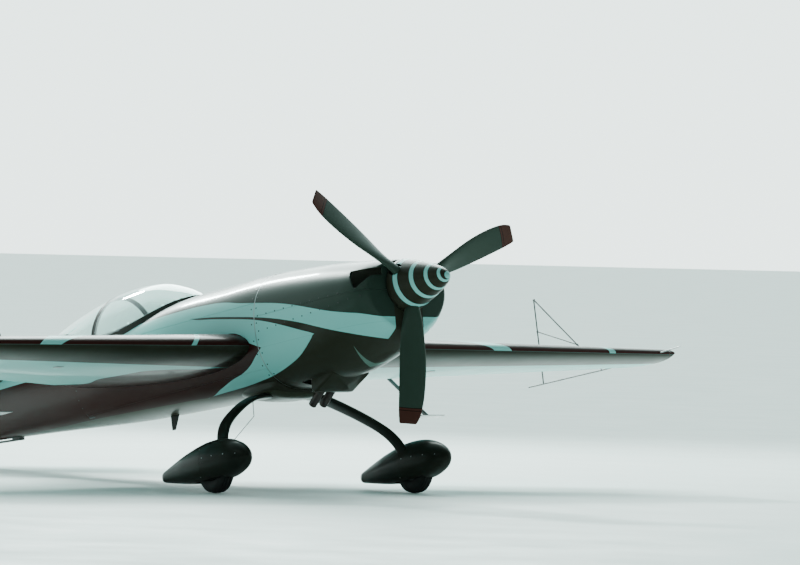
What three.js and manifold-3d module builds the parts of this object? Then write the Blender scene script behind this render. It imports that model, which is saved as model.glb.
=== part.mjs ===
// Aerobatic tail-dragger: a single-seat low-wing monoplane, parked on its gear.
// Units are millimetres. The finished group has +X to the nose, +Y to the left wing, +Z up.
//
// The airframe is drawn level, in its own frame: stations run aft from the spinner tip along
// the thrust line, and heights are measured from that line. A group then tips it nose-up to the
// parked attitude. The tail wheel is drawn upright, in ground axes.

import * as THREE from 'three';
import Module from 'manifold-3d';
import { mergeVertices } from 'three/addons/utils/BufferGeometryUtils.js';

const wasm = await Module();
wasm.setup();

// Attitude and clearances
const ATTITUDE = THREE.MathUtils.degToRad(10.31);
const SPINNER_HEIGHT = 1597;
const SEAM = 0.3;
const RUNNING_GAP = 6;
const FAR = 9000;

// Fuselage: sections of two half superellipses that meet at the waist
const FUSELAGE_COLUMNS = ['station', 'half', 'top', 'bottom', 'waist', 'upper', 'lower'];
const FUSELAGE = [
  [500, 335, 184, -325, -40, 2.2, 1.9],
  [600, 388, 203, -385, -40, 2.2, 1.9],
  [850, 408, 232, -468, -50, 2.3, 2.0],
  [1160, 412, 263, -530, -60, 2.4, 2.1],
  [1800, 405, 300, -550, -80, 2.5, 2.3],
  [2400, 400, 300, -536, -100, 2.5, 2.4],
  [2950, 392, 296, -518, -110, 2.5, 2.5],
  [3450, 374, 240, -502, -120, 2.5, 2.5],
  [3930, 345, 215, -483, -120, 2.4, 2.5],
  [4400, 298, 235, -452, -110, 2.3, 2.4],
  [4850, 245, 290, -420, -90, 2.1, 2.3],
  [5400, 172, 222, -385, -80, 2.1, 2.2],
  [6000, 90, 160, -351, -90, 2.0, 2.0],
  [6260, 45, 136, -336, -90, 2.0, 2.0],
];
const FUSELAGE_SIDES = 28;
const LONG_BAY = 560;
const COWL_FRONT = 500;
const COWL_WALL = 10;
const FIREWALL_STATION = 1790;
const FIREWALL_THICKNESS = 10;
const SKIN = 15;
const COCKPIT_END = 4250;
const DECK_SPLIT = 3600;
const TAIL_START = 5000;
const TAIL_END = FUSELAGE.at(-1)[0];
const UPPER_SEAM = 70;
const LOWER_SEAM = -400;
const COWL_SEAM = -30;

// Canopy bubble, in the same kind of section
const BUBBLE = [
  [2900, 60, 270, -150, 60, 2.0, 8],
  [3010, 170, 339, -150, 60, 2.0, 8],
  [3180, 245, 410, -150, 60, 2.0, 8],
  [3420, 300, 472, -150, 60, 2.0, 8],
  [3770, 312, 482, -150, 60, 2.0, 8],
  [4140, 280, 441, -150, 60, 2.0, 8],
  [4520, 215, 373, -150, 60, 2.0, 8],
  [4790, 140, 310, -150, 60, 2.0, 8],
  [4900, 70, 270, -150, 60, 2.0, 8],
];
const BUBBLE_SIDES = 24;
const BUBBLE_STEP = 125;
const GLASS = 8;
const CANOPY_RAIL = { thickness: 20, height: 26 };
const CANOPY_REAR = 4000;
const HOOP_WIDTH = 28;
const SILL_LAND = 30;
const OPENING_END = 3880;

// Belly fairing over the middle of the gear bow, in the same kind of section
const BELLY_FAIRING = [
  [1803, 236, -450, -598, -470, 2.0, 3.2],
  [1900, 240, -450, -604, -470, 2.0, 3.2],
  [2120, 236, -450, -596, -470, 2.0, 3.0],
  [2280, 205, -450, -566, -470, 2.0, 2.8],
  [2400, 150, -450, -528, -470, 2.0, 2.6],
];

// Wing: straight leading and trailing edges, symmetric sections
const WING = {
  leadingEdge: 1853, sweep: 0.090, rootChord: 2311, tipChord: 777, halfSpan: 3750,
  height: -215, dihedral: 0.008, rootThickness: 0.125, tipThickness: 0.12,
};
const WING_SECTION_POINTS = 12;
const WING_STATIONS = [330, 2100, 3750];
const AILERON = {
  inner: 700, outer: 3716, rootReach: 290, tipReach: 200, innerGap: 15, outerGap: 10,
  hinges: [1000, 2300, 3500],
};
const HINGE = {
  half: 4, eye: 11, pinHole: 5.6, sweptHole: 6.9, pin: 5, pinReach: 16,
  side: 7, depth: 17, root: 25, spare: 5,
};
const SPADE = { span: 1930, ahead: 375, below: 370, width: 210, chord: 160, plate: 8, arm: 14, root: 50 };
const SPAR = { front: 2530, rear: 2660, top: -155, bottom: -285 };
const TIE_DOWN = { station: 2480, span: 1650, size: 60, depth: 40, stand: 4 };

// Tail surfaces
const TAIL = {
  rootLead: 5340, tipLead: 5560, rootTrail: 6340, tipTrail: 6270, halfSpan: 1600,
  height: 70, thickness: 0.10, hinge: 6010, inner: 130, innerTrail: 185, tube: 16,
  hinges: [350, 1350],
};
const FIN = { foot: 60, top: 1020, footLead: 5430, topLead: 5960, thickness: 0.085 };
const RUDDER = {
  hinge: 6235, bottom: -330, footRise: 130, top: 1020, footTrail: 6690, topTrail: 6640,
  hinges: [320, 880],
};
const TRAILING_EDGE = 2;
const COVE_LIP = THREE.MathUtils.degToRad(20);

// Propeller. The spinner's rows are [station, radius]
const SPINNER_PROFILE = [
  [0, 0], [12, 20], [30, 36], [65, 58], [125, 85], [190, 109], [270, 135], [350, 158], [430, 179], [478, 190],
];
const SPINNER_SIDES = 32;
const BACKPLATE = { front: 478.3, rear: 488, radius: 188 };
const PROPELLER = {
  station: 430, radius: 1000, firstBlade: 53.68, blades: 3, pitchAtThreeQuarters: 22, pitchedFrom: 230,
};
const BLADE_RING = { step: 110, sides: 16, fullness: 0.35 };
const BLADE_COLUMNS = ['radius', 'chord', 'thickness', 'sweep'];
const BLADE = [
  [120, 84, 70, 0],
  [200, 120, 58, 0],
  [280, 148, 48, 2],
  [400, 170, 36, 4],
  [600, 190, 26, 8],
  [800, 186, 18, 2],
  [930, 164, 13, -10],
  [1000, 128, 10, -24],
];

// Engine block and its mount
const ENGINE = {
  front: 800, rear: 1450, half: 320, top: 85, bottom: -250,
  noseRadius: 60, mountHalf: 230, mountTop: 60, mountBottom: -200, mountTube: 15,
};
const SHAFT_HOLE = 105;
const INLET = {
  inner: 205, outer: 600,
  outline: [[440, -18], [440, 128], [715, 128], [735, 112], [612, -4], [590, -12]],
};
const OUTLET = {
  front: 1230, deep: 1440, rear: 1500, slot: 1620, half: 165, wall: 10,
  inside: -470, seat: -480, lip: -520, bottom: -615,
};
const EXHAUST = {
  apart: 46, radius: 30, wall: 4, sides: 12,
  route: [[1330, -250.3], [1330, -340], [1375, -480], [1490, -557], [1660, -680]],
};

// Main gear
const WHEEL = { radius: 175, width: 118, track: 1758, aft: 1503, rim: 82, axle: 16, bore: 17, sides: 26 };
const LEG_COLUMNS = ['place', 'span', 'height', 'station', 'chord', 'thickness'];
const LEG = [
  [0, 0, -566, 2020, 170, 40],
  [1, 240, -573, 2020, 170, 40],
  [2, 400, -625, 2000, 168, 38],
  [3, 620, -760, 1905, 152, 34],
  [4, 740, -880, 1815, 136, 30],
  [5, 790, -1010, 1750, 118, 28],
  [6, 795, -1165, 1733, 90, 28],
];
const LEG_RING = { steps: 12, sides: 12, power: 0.8 };
const FAIRING_COLUMNS = ['station', 'half', 'top', 'bottom'];
const FAIRING = [
  [1322, 14, -1070, -1100],
  [1350, 46, -1034, -1130],
  [1430, 88, -980, -1176],
  [1570, 114, -938, -1214],
  [1760, 122, -934, -1222],
  [2000, 104, -975, -1206],
  [2190, 76, -1026, -1178],
  [2330, 52, -1068, -1154],
];
const FAIRING_RING = { step: 84, sides: 18, waist: 0.55, upper: 2.1, lower: 2.8 };
const WHEEL_WELL = { radius: 186, half: 70 };

// Tail gear, in ground axes: distances aft of the spinner tip and heights over the ground
const TAIL_WHEEL = { aft: 5900, radius: 65, width: 40, bore: 7, pin: 6, sides: 20 };
const TAIL_FORK = {
  pivotAft: 5835, crownBottom: 136, crownTop: 146, half: 32, plate: 6, length: 90, kingpin: 6,
};
const TAIL_SPRING = {
  frontAft: 5285, frontTop: 238, rearAft: 5862, rearTop: 164, thickness: 12, half: 26,
  clampEnd: 5380, clampRise: 25,
};

// Cockpit
const FLOOR = { front: 1815, rear: 4200, top: -425, thickness: 10 };
const PANEL = { front: 2850, thickness: 16, bottom: -110 };
const SEAT_HALF_WIDTH = 200;
const SEAT_SIDE = [
  [3290, -424.7], [3290, -372], [3560, -345], [3640, -330], [3890, 96], [3950, 84], [3800, -424.7],
];
const STICK = { station: 3130, radius: 11, grip: 17, gripLength: 110, top: -90 };

// Small outside pieces
const BLADE_ANTENNA = { front: 3340, rear: 3480, seat: -440, tip: -610, thickness: 9, rake: 45 };
const WHIP = { radius: 3, station: 2445, foot: -541, bend: -651, trail: [2720, -790], ball: 9 };
const SIGHT = {
  rod: 5, span: 3737.5, height: -185, start: 2700, end: 3985, rearFoot: 3800, frontFoot: 3070,
  apex: [3836, 474], brace: [0.36, 0.62],
};
const PITOT = { radius: 5, span: 3600, reach: 235, seat: 40 };

// Materials
const DARK_PAINT = { color: 0x14100f, roughness: 0.18, metalness: 0.0 };
const MAROON_PAINT = { color: 0x351014, roughness: 0.22, metalness: 0.0 };
const PALE_PAINT = { color: 0xc9dedb, roughness: 0.25, metalness: 0.0 };
const CARBON = { color: 0x17181a, roughness: 0.35, metalness: 0.0 };
const GLASS_TINT = { color: 0xa9d3d2, roughness: 0.05, metalness: 0.0, transparent: true, opacity: 0.35 };
const RUBBER = { color: 0x1b1b1b, roughness: 0.85, metalness: 0.0 };
const ALLOY = { color: 0x9fa6a6, roughness: 0.35, metalness: 0.9 };
const STEEL = { color: 0x5a5552, roughness: 0.45, metalness: 0.8 };
const CLOTH = { color: 0x26282b, roughness: 0.9, metalness: 0.0 };

// Makes a closed geometry from rings of points, fanned shut at both ends
function loft(rings) {
  const count = rings[0].length;
  const points = rings.flat();
  const index = [];
  for (let k = 0; k < rings.length - 1; k++) {
    for (let i = 0; i < count; i++) {
      const a = k * count + i;
      const b = k * count + (i + 1) % count;
      index.push(a, b, b + count, a, b + count, a + count);
    }
  }
  for (const [ring, start, flip] of [[rings[0], 0, true], [rings.at(-1), points.length - count, false]]) {
    const middle = [0, 1, 2].map((axis) => ring.reduce((sum, p) => sum + p[axis], 0) / count);
    const centre = points.push(middle) - 1;
    for (let i = 0; i < count; i++) {
      const a = start + i;
      const b = start + (i + 1) % count;
      index.push(...(flip ? [centre, b, a] : [centre, a, b]));
    }
  }
  const geometry = new THREE.BufferGeometry();
  geometry.setAttribute('position', new THREE.Float32BufferAttribute(points.flat(), 3));
  geometry.setIndex(index);
  return signedVolume(geometry) < 0 ? turnedInsideOut(geometry) : geometry;
}

function signedVolume(geometry) {
  const p = geometry.getAttribute('position');
  const index = geometry.getIndex().array;
  const [a, b, c] = [new THREE.Vector3(), new THREE.Vector3(), new THREE.Vector3()];
  let volume = 0;
  for (let i = 0; i < index.length; i += 3) {
    a.fromBufferAttribute(p, index[i]);
    b.fromBufferAttribute(p, index[i + 1]);
    c.fromBufferAttribute(p, index[i + 2]);
    volume += a.dot(b.cross(c)) / 6;
  }
  return volume;
}

function turnedInsideOut(geometry) {
  const index = Array.from(geometry.getIndex().array);
  for (let i = 0; i < index.length; i += 3) {
    [index[i], index[i + 1]] = [index[i + 1], index[i]];
  }
  geometry.setIndex(index);
  return geometry;
}

// The same shape on the other side of the aircraft
function mirrored(geometry) {
  const copy = geometry.clone();
  copy.scale(1, -1, 1);
  return turnedInsideOut(copy);
}

// Turns a three.js geometry into a solid that can be joined and cut
function solid(geometry) {
  const bare = geometry.clone();
  bare.deleteAttribute('normal');
  bare.deleteAttribute('uv');
  const merged = mergeVertices(bare, 1e-4);
  const vertProperties = new Float32Array(merged.getAttribute('position').array);
  const triVerts = new Uint32Array(merged.getIndex().array);
  return new wasm.Manifold(new wasm.Mesh({ numProp: 3, vertProperties, triVerts }));
}

function geometryOf(manifold) {
  const mesh = manifold.getMesh();
  const geometry = new THREE.BufferGeometry();
  geometry.setAttribute('position', new THREE.Float32BufferAttribute(mesh.vertProperties, 3));
  geometry.setIndex(new THREE.Uint32BufferAttribute(mesh.triVerts, 1));
  return geometry;
}

// A box between two stations, two sides and two heights
function block(front, rear, right, left, bottom, top) {
  const box = new THREE.BoxGeometry(rear - front, left - right, top - bottom);
  box.translate(-(front + rear) / 2, (left + right) / 2, (bottom + top) / 2);
  return solid(box);
}

// A round bar along one axis, centred on a point
function bar(radius, length, axis, x, y, z, sides = 24) {
  const cylinder = new THREE.CylinderGeometry(radius, radius, length, sides);
  if (axis === 'x') cylinder.rotateZ(Math.PI / 2);
  if (axis === 'z') cylinder.rotateX(Math.PI / 2);
  cylinder.translate(x, y, z);
  return solid(cylinder);
}

// A round rod between two points
function rod(from, to, radius, sides = 10) {
  const start = new THREE.Vector3(...from);
  const along = new THREE.Vector3(...to).sub(start);
  const cylinder = new THREE.CylinderGeometry(radius, radius, along.length(), sides);
  const heading = along.clone().normalize();
  const turn = new THREE.Quaternion().setFromUnitVectors(new THREE.Vector3(0, 1, 0), heading);
  cylinder.applyQuaternion(turn);
  cylinder.translate(...start.addScaledVector(along, 0.5).toArray());
  return solid(cylinder);
}

// A side outline of [station, height] points, given a width
function sidePlate(outline, right, left) {
  const shape = new THREE.Shape(outline.map(([station, height]) => new THREE.Vector2(-station, height)));
  const plate = new THREE.ExtrudeGeometry(shape, { depth: left - right, bevelEnabled: false });
  plate.rotateX(Math.PI / 2);
  plate.translate(0, left, 0);
  return solid(plate);
}

// Reads a table at any value of its first column, smoothly between the rows
function sample(columns, table, at) {
  const last = table.length - 1;
  const k = THREE.MathUtils.clamp(table.findIndex((row) => row[0] >= at) - 1, 0, last - 1);
  const rowAt = (i) => table[THREE.MathUtils.clamp(i, 0, last)];
  const [before, from, to, after] = [k - 1, k, k + 1, k + 2].map(rowAt);
  const step = to[0] - from[0];
  const t = (at - from[0]) / step;
  const row = { [columns[0]]: at };
  for (let c = 1; c < columns.length; c++) {
    const slopeFrom = (to[c] - before[c]) / (to[0] - before[0]) * step;
    const slopeTo = (after[c] - from[c]) / (after[0] - from[0]) * step;
    row[columns[c]] = from[c] * (1 + 2 * t) * (1 - t) ** 2 + slopeFrom * t * (1 - t) ** 2
      + to[c] * t * t * (3 - 2 * t) + slopeTo * t * t * (t - 1);
  }
  return row;
}

function signedPower(value, power) {
  return Math.sign(value) * Math.abs(value) ** power;
}

// One ring of a body section, grown outwards by a margin
function sectionRing(row, grow, sides) {
  const ring = [];
  for (let i = 0; i < sides; i++) {
    const angle = i / sides * 2 * Math.PI;
    const across = Math.cos(angle);
    const up = Math.sin(angle);
    const power = 2 / (up > 0 ? row.upper : row.lower);
    const reach = up > 0 ? row.top - row.waist : row.waist - row.bottom;
    ring.push([
      -row.station,
      (row.half + grow) * signedPower(across, power),
      row.waist + (reach + grow) * signedPower(up, power),
    ]);
  }
  return ring;
}

// Evenly spaced values from one end to the other
function spread(from, to, step) {
  const count = Math.round((to - from) / step);
  return Array.from({ length: count + 1 }, (_, i) => from + (to - from) * i / count);
}

function body(table, stations, grow, sides) {
  const rowAt = (station) => sample(FUSELAGE_COLUMNS, table, station);
  return solid(loft(stations.map((station) => sectionRing(rowAt(station), grow, sides))));
}

// The whole fuselage form, with a section at each row of its table and one midway in a long bay
function wholeHull(grow) {
  const rows = FUSELAGE.map(([station]) => station);
  const stations = rows.flatMap((station, i) => {
    const isLong = i > 0 && station - rows[i - 1] > LONG_BAY;
    return isLong ? [(rows[i - 1] + station) / 2, station] : [station];
  });
  return body(FUSELAGE, stations, grow, FUSELAGE_SIDES);
}

// The fuselage form between two stations
function hull(from, to, grow = 0) {
  return wholeHull(grow).intersect(block(from, to, -FAR, FAR, -FAR, FAR));
}

function bubble(grow) {
  return body(BUBBLE, spread(BUBBLE[0][0], BUBBLE.at(-1)[0], BUBBLE_STEP), grow, BUBBLE_SIDES);
}

// Half thickness of a symmetric section, as a part of its chord
function halfThickness(ratio, x) {
  const shape = 0.2969 * Math.sqrt(x) - 0.126 * x - 0.3516 * x ** 2 + 0.2843 * x ** 3 - 0.1036 * x ** 4;
  return 5 * ratio * shape;
}

// Points of a symmetric section as [distance aft of the nose, offset]
function foil(chord, ratio) {
  const upper = [];
  for (let i = 0; i <= WING_SECTION_POINTS; i++) {
    const x = (1 - Math.cos(i / WING_SECTION_POINTS * Math.PI)) / 2;
    upper.push([x * chord, Math.max(halfThickness(ratio, x) * chord, i === 0 ? 0 : TRAILING_EDGE)]);
  }
  const lower = upper.slice(1).reverse().map(([x, z]) => [x, -z]);
  return [...upper, ...lower];
}

// Points of a hinged surface: a round nose about the hinge, flat flanks to the trailing edge
function flap(nose, reach) {
  const points = [[reach, TRAILING_EDGE]];
  const arc = 10;
  for (let i = 0; i <= arc; i++) {
    const angle = Math.PI / 2 + i / arc * Math.PI;
    points.push([nose * Math.cos(angle), nose * Math.sin(angle)]);
  }
  points.push([reach, -TRAILING_EDGE]);
  return points;
}

// The room that a hinged surface turns in, open to the rear from lips just ahead of the hinge
function cove(nose, reach) {
  const room = nose + RUNNING_GAP;
  const tall = nose * 2.5 + 60;
  const lip = -room * Math.sin(COVE_LIP);
  const points = [[reach + 400, tall], [lip, tall]];
  const arc = 10;
  for (let i = 0; i <= arc; i++) {
    const angle = THREE.MathUtils.lerp(Math.PI / 2 + COVE_LIP, Math.PI * 1.5 - COVE_LIP, i / arc);
    points.push([room * Math.cos(angle), room * Math.sin(angle)]);
  }
  points.push([lip, -tall], [reach + 400, -tall]);
  return points;
}

// Wing measures at one distance from the centreline
function wingAt(span) {
  const part = span / WING.halfSpan;
  const chord = THREE.MathUtils.lerp(WING.rootChord, WING.tipChord, part);
  const lead = WING.leadingEdge + WING.sweep * span;
  return {
    lead,
    chord,
    trail: lead + chord,
    height: WING.height + WING.dihedral * span,
    thickness: THREE.MathUtils.lerp(WING.rootThickness, WING.tipThickness, part),
  };
}

function aileronAt(span) {
  const part = (span - AILERON.inner) / (AILERON.outer - AILERON.inner);
  const reach = THREE.MathUtils.lerp(AILERON.rootReach, AILERON.tipReach, part);
  const wing = wingAt(span);
  const nose = halfThickness(wing.thickness, 1 - reach / wing.chord) * wing.chord - 1;
  return { reach, nose, hinge: wing.trail - reach, height: wing.height };
}

function spanRing(points, station, span, height) {
  return points.map(([aft, up]) => [-(station + aft), span, height + up]);
}

function wingForm() {
  const rings = WING_STATIONS.map((span) => {
    const wing = wingAt(span);
    return spanRing(foil(wing.chord, wing.thickness), wing.lead, span, wing.height);
  });
  return solid(loft(rings));
}

function aileronForm(shape, inner, outer) {
  const rings = [inner, outer].map((span) => {
    const part = aileronAt(span);
    return spanRing(shape(part.nose, part.reach), part.hinge, span, part.height);
  });
  return solid(loft(rings));
}

// A fixed lug that reaches from a cove to the hinge line, and what the moving surface has there
function spanLug(station, span, height, nose, pinHole) {
  const { half, eye } = HINGE;
  const front = station - nose - HINGE.root;
  const plate = block(front, station + 2, span - half, span + half, height - eye, height + eye);
  const round = bar(eye, 2 * half, 'y', -station, span, height, 14);
  return plate.add(round).subtract(bar(pinHole, 4 * half, 'y', -station, span, height, 12));
}

function spanSlot(station, span, height, nose) {
  const { half, side, depth, root, spare } = HINGE;
  const wide = half + side;
  const tall = nose + spare;
  const front = station - nose - root;
  return block(front, station + depth, span - wide, span + wide, height - tall, height + tall);
}

function heightLug(height, nose) {
  const { half, eye, pinHole, root } = HINGE;
  const { hinge } = RUDDER;
  const plate = block(hinge - nose - root, hinge + 2, -eye, eye, height - half, height + half);
  const round = bar(eye, 2 * half, 'z', -hinge, 0, height, 14);
  return plate.add(round).subtract(bar(pinHole, 4 * half, 'z', -hinge, 0, height, 12));
}

function heightSlot(height, nose) {
  const { half, side, depth, root, spare } = HINGE;
  const { hinge } = RUDDER;
  const wide = nose + spare;
  const tall = half + side;
  return block(hinge - nose - root, hinge + depth, -wide, wide, height - tall, height + tall);
}

function leftWing() {
  const room = aileronForm(cove, AILERON.inner - AILERON.innerGap, AILERON.outer + AILERON.outerGap);
  const pad = wingAt(TIE_DOWN.span);
  const depth = halfThickness(pad.thickness, (TIE_DOWN.station - pad.lead) / pad.chord) * pad.chord;
  const under = pad.height - depth;
  const half = TIE_DOWN.size / 2;
  const tieDown = block(
    TIE_DOWN.station - half, TIE_DOWN.station + half, TIE_DOWN.span - half, TIE_DOWN.span + half,
    under - TIE_DOWN.stand, under + TIE_DOWN.depth,
  );
  const trimmed = wingForm().subtract(hull(COWL_FRONT, COCKPIT_END + 400, SEAM)).subtract(room).add(tieDown);
  return AILERON.hinges.reduce((wing, span) => {
    const at = aileronAt(span);
    return wing.add(spanLug(at.hinge, span, at.height, at.nose, HINGE.sweptHole));
  }, trimmed);
}

function leftAileron() {
  const body = aileronForm(flap, AILERON.inner, AILERON.outer);
  const at = aileronAt(SPADE.span);
  const plateStation = at.hinge - SPADE.ahead;
  const plateHeight = at.height - SPADE.below;
  const arm = sidePlate([
    [at.hinge + SPADE.root, at.height - at.nose * 0.6],
    [at.hinge + SPADE.root + 45, at.height - at.nose * 0.6],
    [plateStation + 30, plateHeight],
    [plateStation - 30, plateHeight],
  ], SPADE.span - SPADE.arm / 2, SPADE.span + SPADE.arm / 2);
  const plate = block(
    plateStation - SPADE.chord / 2, plateStation + SPADE.chord / 2,
    SPADE.span - SPADE.width / 2, SPADE.span + SPADE.width / 2,
    plateHeight - SPADE.plate, plateHeight,
  );
  const point = (span) => {
    const place = aileronAt(span);
    return [-place.hinge, span, place.height];
  };
  return AILERON.hinges.reduce((aileron, span) => {
    const place = aileronAt(span);
    const pin = rod(point(span - HINGE.pinReach), point(span + HINGE.pinReach), HINGE.pin, 8);
    return aileron.subtract(spanSlot(place.hinge, span, place.height, place.nose)).add(pin);
  }, body.add(arm).add(plate));
}

function tailAt(span) {
  const part = span / TAIL.halfSpan;
  const lead = THREE.MathUtils.lerp(TAIL.rootLead, TAIL.tipLead, part);
  const trail = THREE.MathUtils.lerp(TAIL.rootTrail, TAIL.tipTrail, part);
  const chord = trail - lead;
  const nose = halfThickness(TAIL.thickness, (TAIL.hinge - lead) / chord) * chord - 1;
  return { lead, trail, chord, nose, reach: trail - TAIL.hinge };
}

function leftStabilizer() {
  const form = loft([20, TAIL.halfSpan].map((span) => {
    const at = tailAt(span);
    return spanRing(foil(at.chord, TAIL.thickness), at.lead, span, TAIL.height);
  }));
  const room = loft([10, TAIL.halfSpan + 50].map((span) => {
    const at = tailAt(span);
    return spanRing(cove(at.nose, at.reach), TAIL.hinge, span, TAIL.height);
  }));
  const trimmed = solid(form).subtract(hull(TAIL_START, TAIL_END, SEAM)).subtract(solid(room));
  return TAIL.hinges.reduce((sum, span) => {
    const { nose } = tailAt(span);
    return sum.add(spanLug(TAIL.hinge, span, TAIL.height, nose, HINGE.pinHole));
  }, trimmed);
}

function leftElevator() {
  const form = loft([TAIL.inner, TAIL.halfSpan].map((span) => {
    const at = tailAt(span);
    return spanRing(flap(at.nose, at.reach), TAIL.hinge, span, TAIL.height);
  }));
  const slope = (TAIL.innerTrail - TAIL.inner) / (TAIL.rootTrail - TAIL.hinge);
  const corner = new THREE.Shape([
    new THREE.Vector2(-TAIL.hinge, 0),
    new THREE.Vector2(-TAIL.hinge, TAIL.inner),
    new THREE.Vector2(-TAIL.rootTrail - 50, TAIL.innerTrail + slope * 50),
    new THREE.Vector2(-TAIL.rootTrail - 50, 0),
  ]);
  const notch = new THREE.ExtrudeGeometry(corner, { depth: 200, bevelEnabled: false });
  notch.translate(0, 0, TAIL.height - 100);
  return TAIL.hinges.reduce((sum, span) => {
    const pin = bar(HINGE.pin, 2 * HINGE.pinReach, 'y', -TAIL.hinge, span, TAIL.height, 8);
    return sum.subtract(spanSlot(TAIL.hinge, span, TAIL.height, tailAt(span).nose)).add(pin);
  }, solid(form).subtract(solid(notch)));
}

function elevator() {
  const left = leftElevator();
  const right = solid(mirrored(geometryOf(left)));
  const tube = bar(TAIL.tube, 2 * TAIL.inner + 60, 'y', -TAIL.hinge, 0, TAIL.height);
  return left.add(right).add(tube);
}

// Fin and rudder measures at one height
function finAt(height) {
  const part = (height - FIN.foot) / (FIN.top - FIN.foot);
  const lead = THREE.MathUtils.lerp(FIN.footLead, FIN.topLead, part);
  const trail = THREE.MathUtils.lerp(RUDDER.footTrail, RUDDER.topTrail, Math.max(0, part));
  const chord = trail - lead;
  const nose = halfThickness(FIN.thickness, (RUDDER.hinge - lead) / chord) * chord - 1;
  return { lead, chord, nose: Math.min(nose, 36), reach: trail - RUDDER.hinge };
}

function heightRing(points, station, height) {
  return points.map(([aft, side]) => [-(station + aft), side, height]);
}

function rudderForm(shape, bottom, top) {
  const heights = [bottom, FIN.foot, top];
  return solid(loft(heights.map((height) => {
    const at = finAt(Math.max(height, FIN.foot - 100));
    return heightRing(shape(at.nose, at.reach), RUDDER.hinge, height);
  })));
}

function rudderRoom() {
  return rudderForm(cove, RUDDER.bottom - 80, FIN.top + 50);
}

function rudder() {
  const { hinge, bottom, footRise, top } = RUDDER;
  const front = hinge - 60;
  const rear = RUDDER.footTrail + 100;
  const foot = sidePlate(
    [[front, bottom - 200], [front, bottom], [rear, bottom + footRise], [rear, bottom - 200]], -100, 100,
  );
  return RUDDER.hinges.reduce((sum, height) => {
    const pin = bar(HINGE.pin, 2 * HINGE.pinReach, 'z', -hinge, 0, height, 8);
    return sum.subtract(heightSlot(height, finAt(height).nose)).add(pin);
  }, rudderForm(flap, bottom - 20, top).subtract(foot));
}

function fin() {
  const form = loft([FIN.foot, FIN.top].map((height) => {
    const at = finAt(height);
    return heightRing(foil(at.chord, FIN.thickness), at.lead, height);
  }));
  const trimmed = solid(form).subtract(hull(TAIL_START, TAIL_END, SEAM)).subtract(rudderRoom());
  return RUDDER.hinges.reduce((sum, height) => sum.add(heightLug(height, finAt(height).nose)), trimmed);
}

function tailCone() {
  const tubeHole = bar(TAIL.tube + RUNNING_GAP, 400, 'y', -TAIL.hinge, 0, TAIL.height);
  return hull(COCKPIT_END + SEAM, TAIL_END)
    .subtract(rudderRoom())
    .subtract(tubeHole);
}

// Cowling: one hollow form, parted at its widest line
function cowlForm() {
  const rear = FIREWALL_STATION;
  const scoop = sidePlate([
    [OUTLET.front, OUTLET.seat],
    [OUTLET.front, OUTLET.lip],
    [OUTLET.deep, OUTLET.bottom],
    [OUTLET.rear, OUTLET.bottom],
    [OUTLET.rear, OUTLET.seat],
  ], -OUTLET.half, OUTLET.half);
  const scoopRoom = sidePlate([
    [OUTLET.front + 40, OUTLET.inside],
    [OUTLET.deep, OUTLET.bottom + OUTLET.wall],
    [OUTLET.slot, OUTLET.bottom + OUTLET.wall],
    [OUTLET.slot, OUTLET.inside],
  ], -OUTLET.half + OUTLET.wall, OUTLET.half - OUTLET.wall);
  const inside = hull(COWL_FRONT + COWL_WALL + 2, rear + 10, -COWL_WALL);
  const inlet = sidePlate(INLET.outline, INLET.inner, INLET.outer);
  return hull(COWL_FRONT, rear).add(scoop)
    .subtract(inside)
    .subtract(scoopRoom)
    .subtract(bar(SHAFT_HOLE, 100, 'x', -COWL_FRONT, 0, 0, 32))
    .subtract(inlet)
    .subtract(solid(mirrored(geometryOf(inlet))));
}

function engine() {
  const { front, rear, half, top, bottom, mountHalf, mountTop, mountBottom, mountTube } = ENGINE;
  const noseFront = BACKPLATE.rear + SEAM;
  const noseLength = front + 20 - noseFront;
  const corners = [mountTop, mountBottom].flatMap((height) => [[mountHalf, height], [-mountHalf, height]]);
  const length = FIREWALL_STATION - rear + 10;
  const middle = length / 2 - FIREWALL_STATION;
  const tubes = corners.map(([y, z]) => bar(mountTube, length, 'x', middle, y, z, 12));
  const nose = bar(ENGINE.noseRadius, noseLength, 'x', -(noseFront + noseLength / 2), 0, 0, 28);
  return tubes.reduce((sum, tube) => sum.add(tube), block(front, rear, -half, half, bottom, top).add(nose));
}

function exhaust(side) {
  const y = side * EXHAUST.apart;
  const points = EXHAUST.route.map(([station, height]) => new THREE.Vector3(-station, y, height));
  const tube = (radius) => {
    const circle = new THREE.Shape(Array.from({ length: EXHAUST.sides }, (_, i) => {
      const angle = i / EXHAUST.sides * 2 * Math.PI;
      return new THREE.Vector2(radius * Math.cos(angle), radius * Math.sin(angle));
    }));
    return solid(new THREE.ExtrudeGeometry(circle, {
      steps: 8, extrudePath: new THREE.CatmullRomCurve3(points), bevelEnabled: false,
    }));
  };
  return tube(EXHAUST.radius).subtract(tube(EXHAUST.radius - EXHAUST.wall));
}

// Hollow cockpit section, before it is parted into panels
function cockpitShell() {
  const front = FIREWALL_STATION + FIREWALL_THICKNESS;
  const outer = hull(front, COCKPIT_END);
  const inside = hull(front - 10, COCKPIT_END + 10, -SKIN);
  const opening = bubble(-SILL_LAND).intersect(block(2000, OPENING_END, -FAR, FAR, -FAR, FAR));
  const spar = block(SPAR.front - SEAM, SPAR.rear + SEAM, -FAR, FAR, SPAR.bottom - SEAM, SPAR.top + SEAM);
  return outer.subtract(inside).subtract(opening).subtract(spar);
}

function insideOfSkin(from, to) {
  return hull(from, to, -SKIN - SEAM);
}

function canopyFrame() {
  const walls = bubble(0).subtract(bubble(-CANOPY_RAIL.thickness));
  const above = walls.subtract(hull(2700, 5000, SEAM));
  const rail = above.intersect(hull(2700, CANOPY_REAR, CANOPY_RAIL.height));
  const hoop = above.intersect(block(CANOPY_REAR - HOOP_WIDTH, CANOPY_REAR, -FAR, FAR, -FAR, FAR));
  return rail.add(hoop);
}

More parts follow.
